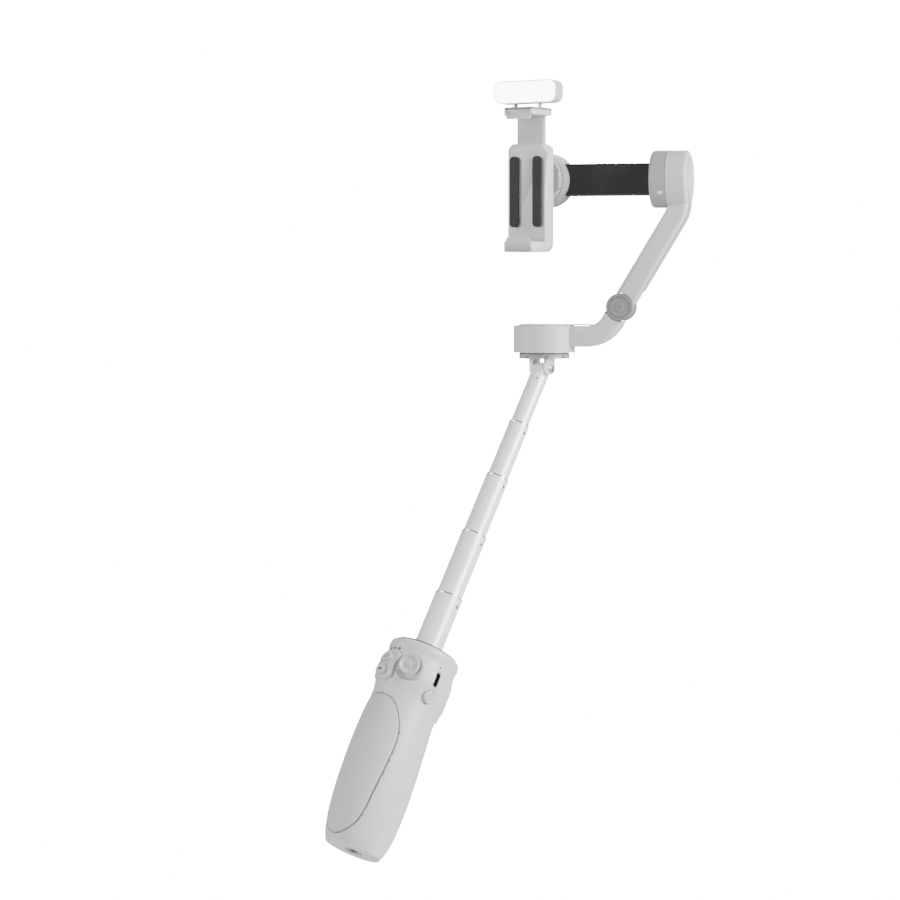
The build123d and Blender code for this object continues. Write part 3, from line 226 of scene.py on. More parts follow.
def grain_group():
    group, given, out = new_group(
        "moulded_grain",
        [("Dark", "NodeSocketColor", (0.6, 0.6, 0.6, 1)), ("Light", "NodeSocketColor", (0.7, 0.7, 0.7, 1)),
         ("Smooth", "NodeSocketFloat", 0.35), ("Rough", "NodeSocketFloat", 0.5),
         ("Grain Scale", "NodeSocketFloat", 1800), ("Grain Depth", "NodeSocketFloat", 0.1)],
        [("Color", "NodeSocketColor"), ("Roughness", "NodeSocketFloat"), ("Normal", "NodeSocketVector")],
    )
    place = group.nodes.new("ShaderNodeTexCoord").outputs["Object"]
    drift = noise_in(group, 35, 3, place)
    mix = group.nodes.new("ShaderNodeMix")
    mix.data_type = "RGBA"
    group.links.new(drift.outputs["Fac"], mix.inputs["Factor"])
    group.links.new(given.outputs["Dark"], mix.inputs["A"])
    group.links.new(given.outputs["Light"], mix.inputs["B"])
    group.links.new(mix.outputs["Result"], out.inputs["Color"])
    sheen = noise_in(group, 140, 4, place)
    group.links.new(spread(group, sheen.outputs["Fac"], given.outputs["Smooth"], given.outputs["Rough"]),
                    out.inputs["Roughness"])
    grain = noise_in(group, 1800, 2, place)
    group.links.new(given.outputs["Grain Scale"], grain.inputs["Scale"])
    bump = group.nodes.new("ShaderNodeBump")
    bump.inputs["Distance"].default_value = 0.0001
    group.links.new(given.outputs["Grain Depth"], bump.inputs["Strength"])
    group.links.new(grain.outputs["Fac"], bump.inputs["Height"])
    group.links.new(bump.outputs["Normal"], out.inputs["Normal"])
    return group


moulded_grain = grain_group()

# %% [markdown]
# Metal that was drawn, ground or turned keeps fine lines along one direction. Stretched noise
# gives them: the coordinates are squeezed along the direction in which the lines run. The group
# takes coordinates that are already turned to the part, so one group serves tube and screw alike.

# %% Node group for drawn lines


def drawn_group():
    group, given, out = new_group(
        "drawn_lines",
        [("Vector", "NodeSocketVector", (0, 0, 0)), ("Dark", "NodeSocketColor", (0.6, 0.6, 0.6, 1)),
         ("Light", "NodeSocketColor", (0.8, 0.8, 0.8, 1)),
         ("Smooth", "NodeSocketFloat", 0.15), ("Rough", "NodeSocketFloat", 0.3),
         ("Depth", "NodeSocketFloat", 0.05)],
        [("Color", "NodeSocketColor"), ("Roughness", "NodeSocketFloat"), ("Normal", "NodeSocketVector")],
    )
    lines = noise_in(group, 900, 3, given.outputs["Vector"])
    cloud = noise_in(group, 60, 2, given.outputs["Vector"])
    mix = group.nodes.new("ShaderNodeMix")
    mix.data_type = "RGBA"
    group.links.new(cloud.outputs["Fac"], mix.inputs["Factor"])
    group.links.new(given.outputs["Dark"], mix.inputs["A"])
    group.links.new(given.outputs["Light"], mix.inputs["B"])
    group.links.new(mix.outputs["Result"], out.inputs["Color"])
    group.links.new(spread(group, lines.outputs["Fac"], given.outputs["Smooth"], given.outputs["Rough"]),
                    out.inputs["Roughness"])
    bump = group.nodes.new("ShaderNodeBump")
    bump.inputs["Distance"].default_value = 0.00005
    group.links.new(given.outputs["Depth"], bump.inputs["Strength"])
    group.links.new(lines.outputs["Fac"], bump.inputs["Height"])
    group.links.new(bump.outputs["Normal"], out.inputs["Normal"])
    return group


drawn_lines = drawn_group()

# %% [markdown]
# ## Finishes
# Each finish is one material. A helper makes the empty material and wires a group to its shader;
# what makes one finish differ from the next is written where that finish is made.

# %% Helpers for materials


def new_material(name):
    """A material with its node tree and its shader."""
    material = bpy.data.materials.new(name)
    material.use_nodes = True
    return material, material.node_tree, material.node_tree.nodes["Principled BSDF"]


def use_group(tree, shader, group, values):
    """A group placed in a material, its values set and its outputs wired to the shader."""
    node = tree.nodes.new("ShaderNodeGroup")
    node.node_tree = group
    for name, value in values.items():
        node.inputs[name].default_value = value
    tree.links.new(node.outputs["Color"], shader.inputs["Base Color"])
    tree.links.new(node.outputs["Roughness"], shader.inputs["Roughness"])
    tree.links.new(node.outputs["Normal"], shader.inputs["Normal"])
    return node


def grey(value, warmth=0.0):
    """A grey with a little warmth, as a colour with alpha."""
    return (value * (1 + warmth), value, value * (1 - warmth), 1)


def plastic(name, level, drift=0.03, warmth=0.01, smooth=0.34, rough=0.46, scale=1800, depth=0.12, coat=0.0):
    """A moulded plastic of one grey level."""
    material, tree, shader = new_material(name)
    use_group(tree, shader, moulded_grain, {
        "Dark": grey(level * (1 - drift), warmth), "Light": grey(level * (1 + drift), warmth),
        "Smooth": smooth, "Rough": rough, "Grain Scale": scale, "Grain Depth": depth,
    })
    shader.inputs["IOR"].default_value = 1.5
    shader.inputs["Coat Weight"].default_value = coat
    shader.inputs["Coat Roughness"].default_value = 0.3
    return material


# %% [markdown]
# The body of the gimbal is one pale, slightly warm grey with a satin bloom. The grip panel is the
# same plastic with a deeper grain for the palm, a shade darker. Trim, motors, fold joint and jaw
# cover step down from there to a near black.

# %% Moulded plastics
shell = plastic("satin_shell", 0.56, drift=0.02)
pad_plastic = plastic("pad_plastic", 0.55, smooth=0.38, rough=0.5)
grip = plastic("grip_texture", 0.50, drift=0.03, smooth=0.52, rough=0.66, scale=900, depth=0.35)
inlay_plain = plastic("inlay_plastic", 0.53, smooth=0.4, rough=0.52)
motor = plastic("motor_plastic", 0.32, smooth=0.36, rough=0.5)
trim = plastic("trim_plastic", 0.11, smooth=0.36, rough=0.48)
stick_plastic = plastic("stick_plastic", 0.48, smooth=0.4, rough=0.55, depth=0.2)
knuckle = plastic("knuckle_plastic", 0.21, smooth=0.4, rough=0.55)
dark = plastic("dark_plastic", 0.018, drift=0.1, warmth=0.0, smooth=0.4, rough=0.6, depth=0.2)
rubber = plastic("soft_rubber", 0.018, drift=0.15, warmth=0.0, smooth=0.7, rough=0.85, scale=700, depth=0.4)
# Painted shade: the dark grey of the bead laid over the grip panel's gap.
panel_gap_shade_grey = plastic("panel_gap_shade", 0.13, smooth=0.5, rough=0.65)
frame_plastic = plastic("inner_plastic", 0.08, warmth=0.0)

# %% [markdown]
# The inlay down the arm has two fine grooves along its length, painted as dark lines of shade
# with no cut in the surface. They are drawn by distance from the arm's middle plane: a Mapping
# node turns the coordinates to the arm, and a narrow band each side of the middle, below the top
# of the strip, is painted dark. Working from the plane makes them follow the bend.

# %% Inlay with painted groove shade


def arm_coordinates(tree):
    """Object coordinates measured in the arm's own frame."""
    mapping = tree.nodes.new("ShaderNodeMapping")
    back = arm_frame.inverted()
    mapping.inputs["Location"].default_value = back.translation
    mapping.inputs["Rotation"].default_value = back.to_euler()
    tree.links.new(tree.nodes.new("ShaderNodeTexCoord").outputs["Object"], mapping.inputs["Vector"])
    split = tree.nodes.new("ShaderNodeSeparateXYZ")
    tree.links.new(mapping.outputs["Vector"], split.inputs["Vector"])
    return split


def maths(tree, operation, first, second=0.0):
    """One maths node; each input is a number or a socket."""
    node = tree.nodes.new("ShaderNodeMath")
    node.operation = operation
    for socket, value in zip(node.inputs, (first, second)):
        if isinstance(value, (int, float)):
            socket.default_value = value
        else:
            tree.links.new(value, socket)
    return node.outputs["Value"]


def inlay_groove_shade():
    groove_from_middle, groove_half_width, strip_top = 3.6 * MM, 0.3 * MM, -16 * MM
    material, tree, shader = new_material("inlay_groove_shade")
    node = use_group(tree, shader, moulded_grain, {
        "Dark": grey(0.50, 0.01), "Light": grey(0.54, 0.01), "Smooth": 0.4, "Rough": 0.52,
        "Grain Scale": 1800, "Grain Depth": 0.12,
    })
    place = arm_coordinates(tree)
    distance = maths(tree, "ABSOLUTE", maths(tree, "SUBTRACT", maths(tree, "ABSOLUTE", place.outputs["Y"]),
                                             groove_from_middle))
    line = maths(tree, "LESS_THAN", distance, groove_half_width)
    below = maths(tree, "LESS_THAN", place.outputs["Z"], strip_top)
    groove_shade_mask = maths(tree, "MULTIPLY", line, below)
    mix = tree.nodes.new("ShaderNodeMix")
    mix.data_type = "RGBA"
    # Painted shade: the grooves are this dark grey, with no cut in the surface.
    mix.inputs["B"].default_value = grey(0.24)
    tree.links.new(groove_shade_mask, mix.inputs["Factor"])
    tree.links.new(node.outputs["Color"], mix.inputs["A"])
    tree.links.new(mix.outputs["Result"], shader.inputs["Base Color"])
    return material


inlay = inlay_groove_shade()

# %% [markdown]
# The rear half of the upper jaw's cover is a speckled dark plastic. Cells from a Voronoi texture
# pick out scattered light flecks.

# %% Speckled jaw cover


def speckled():
    material, tree, shader = new_material("speckled_cover")
    node = use_group(tree, shader, moulded_grain, {
        "Dark": grey(0.17), "Light": grey(0.24), "Smooth": 0.4, "Rough": 0.6,
        "Grain Scale": 1500, "Grain Depth": 0.2,
    })
    cells = tree.nodes.new("ShaderNodeTexVoronoi")
    cells.inputs["Scale"].default_value = 1400
    tree.links.new(tree.nodes.new("ShaderNodeTexCoord").outputs["Object"], cells.inputs["Vector"])
    flecks = maths(tree, "LESS_THAN", cells.outputs["Distance"], 0.22)
    mix = tree.nodes.new("ShaderNodeMix")
    mix.data_type = "RGBA"
    mix.inputs["B"].default_value = grey(0.55)
    tree.links.new(flecks, mix.inputs["Factor"])
    tree.links.new(node.outputs["Color"], mix.inputs["A"])
    tree.links.new(mix.outputs["Result"], shader.inputs["Base Color"])
    return material


jaw_dark = speckled()

# %% [markdown]
# The rod is drawn aluminium under a pearl lacquer, so it is only partly metallic. Its lines run
# along the rod, so the coordinates are turned to the rod and squeezed along it. Steel, copper and
# nickel use the same group.

# %% Metals


def metal(name, colour, smooth, rough, stretch=(1, 1, 1), turned=False, depth=0.08, bare=1.0):
    """A metal, bare or partly under lacquer, its fine lines squeezed by stretch."""
    material, tree, shader = new_material(name)
    darker = tuple(0.9 * part for part in colour) + (1,)
    node = use_group(tree, shader, drawn_lines, {
        "Dark": darker, "Light": tuple(colour) + (1,), "Smooth": smooth, "Rough": rough, "Depth": depth,
    })
    shader.inputs["Metallic"].default_value = bare
    mapping = tree.nodes.new("ShaderNodeMapping")
    if turned:
        mapping.inputs["Rotation"].default_value = handle_frame.inverted().to_euler()
    mapping.inputs["Scale"].default_value = (1, 1, 1)
    squeeze = tree.nodes.new("ShaderNodeVectorMath")
    squeeze.operation = "MULTIPLY"
    squeeze.inputs[1].default_value = stretch
    tree.links.new(tree.nodes.new("ShaderNodeTexCoord").outputs["Object"], mapping.inputs["Vector"])
    tree.links.new(mapping.outputs["Vector"], squeeze.inputs[0])
    tree.links.new(squeeze.outputs["Vector"], node.inputs["Vector"])
    return material


rod_metal = metal("drawn_rod", (0.93, 0.93, 0.94), 0.20, 0.32, stretch=(1, 1, 0.03), turned=True, depth=0.04,
                  bare=0.1)
steel = metal("turned_steel", (0.62, 0.62, 0.63), 0.22, 0.40)
bright_rim = metal("bright_rim", (0.95, 0.95, 0.96), 0.05, 0.15)
copper = metal("copper_winding", (0.72, 0.33, 0.16), 0.3, 0.5, stretch=(1, 1, 4), depth=0.4)
nickel = metal("nickel_magnet", (0.45, 0.45, 0.47), 0.2, 0.35)

# %% [markdown]
# Circuit boards are green lacquer over copper tracks, and a track pattern is a grid of bricks.
# The battery's sleeve is a glossy film. The lamp's diffuser is lit from behind, so it glows, its
# light drifting a little over its face, and the status light is a saturated green.

# %% Board, sleeve, lamps and marks


def board_lacquer():
    material, tree, shader = new_material("board_lacquer")
    tracks = tree.nodes.new("ShaderNodeTexBrick")
    tracks.inputs["Scale"].default_value = 260
    tracks.inputs["Mortar Size"].default_value = 0.03
    tracks.inputs["Color1"].default_value = (0.015, 0.12, 0.05, 1)
    tracks.inputs["Color2"].default_value = (0.02, 0.15, 0.06, 1)
    tracks.inputs["Mortar"].default_value = (0.10, 0.30, 0.12, 1)
    tree.links.new(tree.nodes.new("ShaderNodeTexCoord").outputs["Object"], tracks.inputs["Vector"])
    tree.links.new(tracks.outputs["Color"], shader.inputs["Base Color"])
    shader.inputs["Roughness"].default_value = 0.3
    return material


def glow(name, colour, strength, base):
    """A lit surface whose light drifts slightly over its area."""
    material, tree, shader = new_material(name)
    cloud = noise_in(tree, 60, 1, tree.nodes.new("ShaderNodeTexCoord").outputs["Object"])
    mix = tree.nodes.new("ShaderNodeMix")
    mix.data_type = "RGBA"
    mix.inputs["A"].default_value = tuple(0.92 * part for part in colour) + (1,)
    mix.inputs["B"].default_value = tuple(colour) + (1,)
    tree.links.new(cloud.outputs["Fac"], mix.inputs["Factor"])
    tree.links.new(mix.outputs["Result"], shader.inputs["Emission Color"])
    shader.inputs["Emission Strength"].default_value = strength
    shader.inputs["Base Color"].default_value = tuple(base) + (1,)
    shader.inputs["Roughness"].default_value = 0.35
    return material


def tinted(name, dark_colour, light_colour, smooth, rough):
    """A coloured plastic or paint with the moulded grain."""
    material, tree, shader = new_material(name)
    use_group(tree, shader, moulded_grain, {
        "Dark": tuple(dark_colour) + (1,), "Light": tuple(light_colour) + (1,), "Smooth": smooth,
        "Rough": rough, "Grain Scale": 1500, "Grain Depth": 0.05,
    })
    return material


board = board_lacquer()
sleeve = tinted("battery_sleeve", (0.03, 0.10, 0.28), (0.04, 0.13, 0.34), 0.15, 0.25)
lens = tinted("status_lens", (0.07, 0.07, 0.07), (0.10, 0.10, 0.10), 0.12, 0.2)
red_mark = tinted("record_red", (0.42, 0.006, 0.006), (0.52, 0.008, 0.008), 0.35, 0.5)
lavender_mark = tinted("mode_mark", (0.20, 0.19, 0.34), (0.24, 0.23, 0.40), 0.35, 0.5)
white_mark = tinted("white_mark", (0.80, 0.80, 0.80), (0.86, 0.86, 0.86), 0.35, 0.5)
grey_mark = tinted("grey_mark", (0.10, 0.10, 0.10), (0.13, 0.13, 0.13), 0.4, 0.55)
diffuser = glow("lit_diffuser", (1.0, 1.0, 1.0), 9.0, (0.9, 0.9, 0.9))
green_glow = glow("green_light", (0.02, 0.75, 0.03), 1.0, (0.01, 0.35, 0.02))
floor_paint = tinted("floor_paint", (0.86, 0.86, 0.86), (0.88, 0.88, 0.88), 0.8, 0.9)
floor.data.materials.append(floor_paint)

# %% [markdown]
# ## Parts from the CAD model
# A CAD mesh arrives as loose triangles, which shade as facets. A copy with its doubles merged can
# be shaded smooth up to a chosen angle, so that round parts look round and edges stay crisp.
# Weighted normals then give large faces the say over thin fillets, which keeps a flat face from
# shading like a cushion. The copy rides on the same body and stands for its node.

# %% Dress every CAD node


def dress(node, material, angle=32):
    """A smooth-shaded copy of a CAD node in its finish."""
    source = nodes[node]
    piece = bpy.data.objects.new("fine_" + node, source.data.copy())
    bpy.context.scene.collection.objects.link(piece)
    bpy.ops.object.select_all(action="DESELECT")
    piece.select_set(True)
    bpy.context.view_layer.objects.active = piece
    bpy.ops.object.mode_set(mode="EDIT")
    bpy.ops.mesh.select_all(action="SELECT")
    bpy.ops.mesh.remove_doubles(threshold=0.000002)
    bpy.ops.object.mode_set(mode="OBJECT")
    bpy.ops.object.shade_smooth_by_angle(angle=math.radians(angle))
    weighting = piece.modifiers.new("flat_faces_first", "WEIGHTED_NORMAL")
    weighting.weight = 100
    weighting.keep_sharp = True
    bpy.ops.object.modifier_apply(modifier=weighting.name)
    piece.data.materials.clear()
    piece.data.materials.append(material)
    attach(piece, source["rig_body"])
    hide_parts(node)
    return piece


finishes = {
    "shell": (shell, ["handle_shell", "rear_cover", "mode_button", "record_button", "trigger", "lower_arm",
                      "upper_arm", "clamp_plate", "upper_jaw", "light_housing"]),
    "pad": (pad_plastic, ["control_pad", "base_cap", "power_button", "zoom_rocker"]),
    "grip": (grip, ["grip_panel"]),
    "motor": (motor, ["tilt_rotor", "roll_housing", "roll_rotor", "pan_base_ring"]),
    "trim": (trim, ["top_ring"]),
    "knuckle": (knuckle, ["outer_knuckle", "middle_knuckle"]),
    "dark": (dark, ["tilt_bracket", "usb_c_port"]),
    "rod": (rod_metal, ["tube_a", "tube_b", "tube_c", "tube_d", "tube_e", "rod_knuckle", "yoke"]),
    "steel": (steel, ["tripod_insert", "cover_screws", "trigger_pin", "hinge_pin", "pan_shaft",
                      "pan_bearing", "fold_pin", "tilt_bearing", "clamp_spring"]),
    "winding": (copper, ["pan_stator", "tilt_stator", "roll_stator"]),
    "magnet": (nickel, ["pan_magnets"]),
    "board": (board, ["main_board", "light_board"]),
    "cell_wrap": (sleeve, ["battery_cell"]),
    "lens": (lens, ["charge_light", "status_lights"]),
    "rubber_pad": (rubber, ["clamp_pads"]),
    "diffuser": (diffuser, ["light_diffuser"]),
    "contact": (bright_rim, ["light_feet"]),
    "jaw_dark": (jaw_dark, ["jaw_cover"]),
    "inlay": (inlay, ["arm_inlay"]),
}
dressed = {}
for slot, (material, names) in finishes.items():
    for name in names:
        dressed[name] = dress(name, material)
for name, material, slot in (
    ("pan_top_inlay", inlay_plain, "inlay"), ("joystick_skirt", stick_plastic, "trim"),
    ("joystick_cap", stick_plastic, "trim"), ("joystick_cross", frame_plastic, "dark"),
    ("inner_frame", frame_plastic, "dark"), ("rod_guide", frame_plastic, "dark"),
):
    dressed[name] = dress(name, material)
print("dressed", len(dressed), "of", len(nodes))

# %% [markdown]
# ## Small details, modelled by hand
# Each detail is modelled upright at the origin with edit-mode operators, and only then carried to
# its place, so a bevel or an inset has the same meaning on every one. Its place is found by
# looking for the surface that it sits on: a ray from outside, aimed at the part, gives the point
# and the normal.

# %% Helpers for placing and finishing a detail


def surface_frame(part, start, aim, up):
    """A frame on a part's surface where a ray from start to aim meets it, z out of the surface."""
    piece = dressed[part]
    hit, point, normal, face = piece.ray_cast(Vector(start), (Vector(aim) - Vector(start)).normalized())
    if not hit:
        raise ValueError("no surface of " + part + " on the ray")
    side = Vector(up).cross(normal)
    return frame_matrix(point, side, normal)


def new_primitive(add, **sizes):
    """A primitive in edit mode, with nothing else selected."""
    bpy.ops.object.select_all(action="DESELECT")
    add(**sizes)
    bpy.ops.object.mode_set(mode="EDIT")
    bpy.ops.mesh.select_all(action="SELECT")
    return bpy.context.object


def settle(piece, name, matrix, body, material, angle=35):
    """Leaves edit mode, carries the piece to its place and gives it its finish and body."""
    bpy.ops.object.mode_set(mode="OBJECT")
    piece.name = name
    piece.data.transform(matrix)
    bpy.ops.object.shade_smooth_by_angle(angle=math.radians(angle))
    piece.data.materials.clear()
    piece.data.materials.append(material)
    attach(piece, body)
    return piece


def select_top(piece):
    """Selects the faces that look straight up."""
    bpy.ops.object.mode_set(mode="OBJECT")
    for part in (piece.data.vertices, piece.data.edges):
        part.foreach_set("select", [False] * len(part))
    for face in piece.data.polygons:
        face.select = face.normal.z > 0.99
    bpy.ops.object.mode_set(mode="EDIT")


# %% [markdown]
# A printed or inlaid mark is a thin plate with rounded corners. It starts as a cube, is flattened
# to size, and a bevel of its upright edges rounds the corners; a second small bevel
# softens the rim so that it catches light. It sinks a little into its surface so no gap shows.

# %% Plates for marks and caps


def plate(name, matrix, width, height, thick, corner, body, material, sink=0.5):
    """A thin plate with rounded corners, sunk by a share of its thickness."""
    piece = new_primitive(bpy.ops.mesh.primitive_cube_add, size=1)
    bpy.ops.transform.resize(value=(width, height, thick))
    bpy.ops.transform.translate(value=(0, 0, thick * (0.5 - sink)))
    bpy.ops.object.mode_set(mode="OBJECT")
    for edge in piece.data.edges:
        low, high = (piece.data.vertices[index].co for index in edge.vertices)
        edge.select = abs(low.z - high.z) > thick / 2
    for face in piece.data.polygons:
        face.select = False
    bpy.ops.object.mode_set(mode="EDIT")
    bpy.ops.mesh.select_mode(type="EDGE")
    bpy.ops.mesh.bevel(offset=corner, segments=6)
    bpy.ops.mesh.select_mode(type="FACE")
    select_top(piece)
    bpy.ops.mesh.bevel(offset=min(thick * 0.3, corner * 0.3), segments=2)
    return settle(piece, name, matrix, body, material)


# %% [markdown]
# Beads and grooves round a circle start as a torus. A torus has a round section, so it is
# flattened in edit mode to the low bead that a turned or moulded ring really has.

# %% Beads


def bead(name, matrix, radius, thick, flat, body, material):
    """A round bead about z, its section scaled along z by flat."""
    piece = new_primitive(bpy.ops.mesh.primitive_torus_add, major_segments=72, minor_segments=10,
                          major_radius=radius, minor_radius=thick)
    bpy.ops.transform.resize(value=(1, 1, flat))
    return settle(piece, name, matrix, body, material)


# %% [markdown]
# A screw head is a short cylinder whose top is inset and pushed in for the driver, with its rim
# bevelled. One function makes every screw, and each copy has its own mesh.

# %% Screw heads


def screw_head(name, matrix, radius, height, body, material):
    """A bevelled disc with a round recess in its top."""
    piece = new_primitive(bpy.ops.mesh.primitive_cylinder_add, vertices=36, radius=radius, depth=height)
    select_top(piece)
    bpy.ops.mesh.bevel(offset=radius * 0.14, segments=2)
    select_top(piece)
    bpy.ops.mesh.inset(thickness=radius * 0.42)
    bpy.ops.mesh.extrude_region_move(TRANSFORM_OT_translate={"value": (0, 0, -height * 0.45)})
    bpy.ops.mesh.inset(thickness=radius * 0.12)
    return settle(piece, name, matrix, body, material)


# %% [markdown]
# ## The rod
# Each stage ends in a bright turned rim, with a small locking dimple just below it on the right.
# The dimple's hollow is shown as a dark plate, which is painted shade. The rims and the tubes'
# radii are measured from the tubes themselves, in the handle's frame.

# %% Rims, and dark plates of painted shade for the dimples
handle_back = handle_frame.inverted()


def rim_of(name):
    """Height of a tube's rim and its radius there, measured in the handle's frame."""
    points = [handle_back @ vertex.co for vertex in dressed[name].data.vertices]
    top = max(point.z for point in points)
    radius = max(math.hypot(point.x, point.y) for point in points if point.z > top - 1 * MM)
    return top, radius


def handle_point(x, y, z):
    """A point given in the handle's frame, in metres, as a matrix in the shared frame."""
    return handle_frame @ Matrix.Translation((x, y, z))


def facing_out(degrees):
    """A turn about the rod, then a quarter turn that points z away from it."""
    return Matrix.Rotation(math.radians(degrees), 4, "Z") @ Matrix.Rotation(math.radians(90), 4, "Y")


def reach_along(part, origin, direction):
    """How far a part reaches from a point along a direction."""
    return max((vertex.co - origin).dot(direction) for vertex in dressed[part].data.vertices)


dimple_turn = 8
bead_below_rim, dimple_below_rim = 0.9 * MM, 6.2 * MM
bead_sink, dimple_sink = 0.08 * MM, 0.17 * MM
for stage in "abcd":
    top, radius = rim_of("tube_" + stage)
    bead("rim_bead_" + stage, handle_point(0, 0, top - bead_below_rim), radius - bead_sink, 0.22 * MM, 2.2,
         "stage_" + stage, bright_rim)
    spot = handle_point(0, 0, top - dimple_below_rim) @ facing_out(dimple_turn)
    # Painted shade: a near-black plate stands for the dimple's hollow.
    plate("dimple_shade_" + stage, spot @ Matrix.Translation((0, 0, radius - dimple_sink)),
          2.2 * MM, 1.5 * MM, 0.3 * MM, 0.7 * MM, "stage_" + stage, dark, sink=0.3)
    print("rim", stage, round(top, 4), round(radius, 5))

# %% [markdown]
# Three small rivets sit just below the end of the thinnest tube, where the hinge's plug is pinned
# in. The hinge pin has a recessed head on both ears of the fork.

# %% Rivets and the hinge pin's heads
top, radius = rim_of("tube_e")
rivet_turns = (-52, -18, 24)
rivet_below_rim, rivet_stagger = 3.0, 2.2
for count, turn in enumerate(rivet_turns):
    height = top - (rivet_below_rim + rivet_stagger * (count % 2)) * MM
    spot = handle_point(0, 0, height) @ facing_out(turn) @ Matrix.Translation((0, 0, radius))
    screw_head(f"plug_rivet_{count}", spot, 0.75 * MM, 0.4 * MM, "stage_e", steel)
hinge_axis = Vector(joints["head_hinge"]["axis"])
for side, sign in (("left", -1), ("right", 1)):
    facing = hinge_axis * sign
    pin_end = pin + facing * reach_along("hinge_pin", pin, facing)
    outward = frame_matrix(pin_end, rod_axis.cross(hinge_axis), facing)
    screw_head("hinge_screw_" + side, outward, 2.0 * MM, 0.5 * MM, "head_yoke", steel)

# %% [markdown]
# ## The control head
# The left key carries a lavender rounded frame for the mode, and the key under it a short red dash
# for record. Each mark lies on its key and moves with it.

# %% Key marks


def key_frame(part, joint, shift=(0, 0)):
    """A frame on a key's face, x to the right and y up the handle."""
    inward = Vector(joints[joint]["axis"])
    across = rod_axis.cross(-inward)
    spot = middle_of(part) + across * shift[0] + rod_axis * shift[1]
    return surface_frame(part, spot - inward * 0.05, spot, rod_axis)


plate("record_dash", key_frame("record_button", "record_press"), 4.4 * MM, 1.3 * MM, 0.16 * MM, 0.6 * MM,
      "record_key", red_mark, sink=0.4)
plate("mode_frame", key_frame("mode_button", "mode_press"), 4.6 * MM, 2.4 * MM, 0.12 * MM, 1.0 * MM,
      "mode_key", lavender_mark, sink=0.4)
plate("mode_frame_middle", key_frame("mode_button", "mode_press"), 3.4 * MM, 1.3 * MM, 0.2 * MM, 0.55 * MM,
      "mode_key", shell, sink=0.3)

# %% [markdown]
# A soft dark line runs round the grip panel, where the panel drops into its recess. It is painted
# shade: a dark bead laid over the gap stands in for the shade in it. Its path is found on the
# model: from the panel's middle, each direction is searched for the place where a ray from the
# front stops meeting the panel, and the line lies on the shell just outside it.

# %% Painted shade line round the grip panel


def from_the_front(part, x, z):
    """Where a ray from the button side meets a part, with the normal there, or None."""
    start = handle_frame @ Vector((x, -0.06, z))
    hit, point, normal, face = dressed[part].ray_cast(start, handle_frame.to_3x3() @ Vector((0, 1, 0)))
    return (point, normal) if hit else None


panel_heights = [(handle_back @ vertex.co).z for vertex in dressed["grip_panel"].data.vertices]
panel_centre = (min(panel_heights) + max(panel_heights)) / 2
panel_shade_path = []
line_points, halvings = 144, 12
nearest, furthest = 0.005, 0.060
line_gap, line_pull, line_lift = 0.5 * MM, 0.35 * MM, 0.04 * MM
for step in range(line_points):
    turn = 2 * math.pi * step / line_points
    inside, outside = nearest, furthest
    for _ in range(halvings):
        reach = (inside + outside) / 2
        if from_the_front("grip_panel", reach * math.cos(turn), panel_centre + reach * math.sin(turn)):
            inside = reach
        else:
            outside = reach
    reach = inside + line_gap
    point, normal = from_the_front("handle_shell", reach * math.cos(turn),
                                   panel_centre + reach * math.sin(turn))
    inward = handle_frame.to_3x3() @ Vector((math.cos(turn), 0, math.sin(turn)))
    panel_shade_path.append(point - inward * line_pull + normal * line_lift)


def bead_along(name, points, thick, body, material, closed=True, resolution=2, matrix=None):
    """A round bead along a run of points, closed or with capped ends."""
    data = bpy.data.curves.new(name, "CURVE")
    data.dimensions = "3D"
    data.bevel_depth = thick
    data.bevel_resolution = resolution
    data.use_fill_caps = not closed
    line = data.splines.new("POLY")
    line.points.add(len(points) - 1)
    line.use_cyclic_u = closed
    for point, place in zip(line.points, points):
        point.co = (*place, 1)
    curve = bpy.data.objects.new(name, data)
    bpy.context.scene.collection.objects.link(curve)
    bpy.ops.object.select_all(action="DESELECT")
    curve.select_set(True)
    bpy.context.view_layer.objects.active = curve
    bpy.ops.object.convert(target="MESH")
    piece = bpy.context.object
    if matrix is not None:
        piece.data.transform(matrix)
    bpy.ops.object.shade_smooth_by_angle(angle=math.radians(60))
    piece.data.materials.append(material)
    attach(piece, body)
    return piece


# Painted shade for the gap round the grip panel.
bead_along("panel_shade_line", panel_shade_path, 0.45 * MM, "handle", panel_gap_shade_grey)

# %% [markdown]
# The joystick's cap carries a raised curl for the thumb, and its skirt two fine rings. The curl is
# a spiral curve with a round section, turned into a mesh so that it rides like any other piece.

# %% Joystick
stick_pivot = Vector(joints["joystick_up_down"]["pos_m"])
stick_out = Vector(joints["joystick_up_down"]["axis"]).cross(rod_axis)
if (dressed["joystick_cap"].data.vertices[0].co - stick_pivot).dot(stick_out) < 0:
    stick_out = -stick_out
stick_reach = reach_along("joystick_cap", stick_pivot, stick_out)
skirt_reach = reach_along("joystick_skirt", stick_pivot, stick_out)
stick_frame = frame_matrix(stick_pivot, joints["joystick_up_down"]["axis"], stick_out)
dish_depth = 1.42 * MM
curl_start, curl_end, curl_turns, curl_steps = 3.6 * MM, 2.2 * MM, 0.8, 40
curl = []
for step in range(curl_steps + 1):
    share = step / curl_steps
    radius = curl_start + (curl_end - curl_start) * share
    angle = 2 * math.pi * curl_turns * share
    curl.append((radius * math.cos(angle), radius * math.sin(angle), 0))
bead_along("thumb_curl", curl, 0.28 * MM, "joystick", stick_plastic, closed=False, resolution=3,
           matrix=stick_frame @ Matrix.Translation((0, 0, stick_reach - dish_depth)))
for count, radius in enumerate((7.7, 6.3)):
    ring_height = skirt_reach - (0.25 + 0.2 * count) * MM
    bead(f"skirt_ring_{count}", stick_frame @ Matrix.Translation((0, 0, ring_height)), radius * MM,
         0.16 * MM, 1.0, "handle", trim)

# %% [markdown]
# The power key has a ring and a short dash printed on it, and the leftmost of the four status lights is
# lit green.

